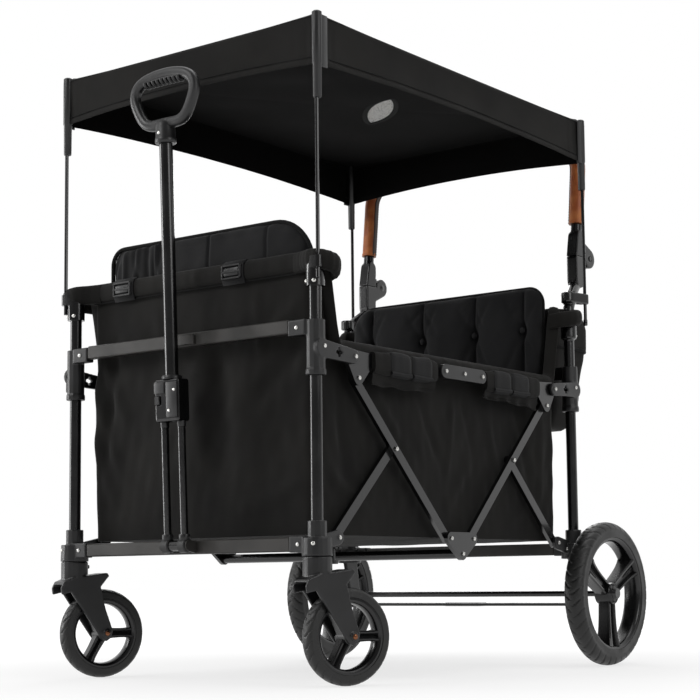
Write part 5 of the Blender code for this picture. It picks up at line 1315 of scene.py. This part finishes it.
rivets("pull_handle", [(LEAN @ Vector((x, PULL_Y - 0.0190, z)), way)
                       for x, z in ((0.0215, 0.510), (0.0085, 0.474))], 0.0030)
rivets("pull_slide", [(LEAN @ Vector((0, PULL_Y - 0.0178, 0.968)), (0, -1, 0))], 0.0034)

# %% [markdown]
# ## Floor, light and camera
# The wagon stands on a white floor in soft light from above and from the left, with a white
# surround for its glossy tubes to mirror. Behind the camera the surround is dim, as a studio is.
# The camera looks up a little from wheel height.

# %% Floor
# A matt floor that glows a little more with distance, so that it reads white and keeps its shadow.
FLOOR, floor_tree, floor_shader = new_material("White studio floor", 0.9, Base_Color=colour("#989898"),
                                               Specular_IOR_Level=0.0, Emission_Color=(1, 1, 1, 1))
seen_by = add(floor_tree, "ShaderNodeLightPath").outputs
seen = add(floor_tree, "ShaderNodeMath", {0: seen_by["Is Camera Ray"], 1: seen_by["Is Glossy Ray"]},
           operation="MAXIMUM")
floor_place = add(floor_tree, "ShaderNodeTexCoord").outputs["Object"]
floor_far = add(floor_tree, "ShaderNodeVectorMath", {0: floor_place}, operation="LENGTH").outputs["Value"]
floor_lift = add(floor_tree, "ShaderNodeMapRange", {0: floor_far, 1: 0.6, 2: 2.6, 3: 0.70, 4: 0.97})
lift = add(floor_tree, "ShaderNodeMath", {0: seen.outputs[0], 1: floor_lift.outputs[0]}, operation="MULTIPLY")
floor_tree.links.new(lift.outputs[0], floor_shader.inputs["Emission Strength"])
floor_mesh = bpy.data.meshes.new("studio_floor")
FLOOR_HALF, FLOOR_Z = 30, -0.0005
floor_corners = [(x * FLOOR_HALF, y * FLOOR_HALF, FLOOR_Z) for x, y in ((-1, -1), (1, -1), (1, 1), (-1, 1))]
floor_mesh.from_pydata(floor_corners, [], [(0, 1, 2, 3)])
floor_mesh.materials.append(FLOOR)
link_mesh("studio_floor", floor_mesh)

# %% World
TO_BACKDROP, DIM, AROUND = (-0.61, 0.79, 0.12), 0.20, 0.34
world = bpy.data.worlds.new("White surround")
SCENE.world = world
world.use_nodes = True
sky = world.node_tree
rays = add(sky, "ShaderNodeLightPath").outputs
bright = add(sky, "ShaderNodeMath", {0: rays["Is Camera Ray"], 1: rays["Is Transmission Ray"]},
             operation="MAXIMUM")
ray_way = add(sky, "ShaderNodeTexCoord").outputs["Generated"]
backdrop = add(sky, "ShaderNodeVectorMath", {0: ray_way, 1: TO_BACKDROP},
               operation="DOT_PRODUCT").outputs["Value"]
mirrored_light = add(sky, "ShaderNodeMapRange", {0: backdrop, 1: -0.35, 2: 0.35, 3: DIM, 4: 1.0})
unseen = add(sky, "ShaderNodeMath", {0: 1.0, 1: bright.outputs[0]}, operation="SUBTRACT")
glossy_only = add(sky, "ShaderNodeMath", {0: rays["Is Glossy Ray"], 1: unseen.outputs[0]},
                  operation="MULTIPLY")
plain = add(sky, "ShaderNodeMapRange", {0: bright.outputs[0], 3: AROUND, 4: 1.0})
strength = add(sky, "ShaderNodeMix", {0: glossy_only.outputs[0], 2: plain.outputs[0],
                                      3: mirrored_light.outputs[0]})
sky.links.new(strength.outputs[0], sky.nodes["Background"].inputs["Strength"])
sky.nodes["Background"].inputs["Color"].default_value = (1, 1, 1, 1)

# %% Lamps: name, place, aim, size and power
LAMPS = (("Key from the front left", (-1.2, -3.2, 2.6), (0, 0, 0.5), (1.6, 1.6), 44),
         ("Fill from the right", (3.4, -0.6, 2.0), (0, 0, 0.5), (1.8, 1.8), 30),
         ("Kicker from the left", (-2.8, -1.7, 0.9), (0, -0.5, 0.5), (0.7, 1.6), 30),
         ("Top", (0.2, 0.4, 3.2), (0, 0, 0.5), (2.2, 2.2), 26),
         ("Rim from behind", (-1.6, 2.6, 1.8), (0, 0, 0.6), (1.2, 1.6), 22))
for name, place, aim, size, power in LAMPS:
    light = bpy.data.lights.new(name, "AREA")
    light.shape, light.energy = "RECTANGLE", power
    light.size, light.size_y = size
    lamp = bpy.data.objects.new(name, light)
    lamp.location = place
    lamp.rotation_euler = (Vector(aim) - Vector(place)).to_track_quat("-Z", "Y").to_euler()
    SCENE.collection.objects.link(lamp)

# %% [markdown]
# ## Camera
# The lens and place come from matching known points of the wagon with the photograph. The picture
# keeps uprights nearly parallel, which a small vertical shift gives.

# %% The camera at the photograph's place
IMAGE_PX, FOCAL_PX, CAMERA_AT = 700, 1691.9, (2.0494, -2.6653, 0.1707)
yaw, pitch, roll = radians(-37.5554), radians(5.9651), radians(-0.5833)
look = Vector((sin(yaw) * cos(pitch), cos(yaw) * cos(pitch), sin(pitch)))
right = Vector((cos(yaw), -sin(yaw), 0))
up = right.cross(look)
lens = bpy.data.cameras.new("Portrait")
lens.sensor_width = 36.0
lens.lens = FOCAL_PX * lens.sensor_width / IMAGE_PX
lens.shift_y = 0.08
lens.clip_start, lens.clip_end = 0.05, 100
camera = bpy.data.objects.new("Portrait", lens)
axes = Matrix((right * cos(roll) + up * sin(roll), up * cos(roll) - right * sin(roll), -look)).transposed()
camera.matrix_world = Matrix.Translation(CAMERA_AT) @ axes.to_4x4()
SCENE.collection.objects.link(camera)
SCENE.camera = camera
SCENE.view_settings.view_transform = "Standard"
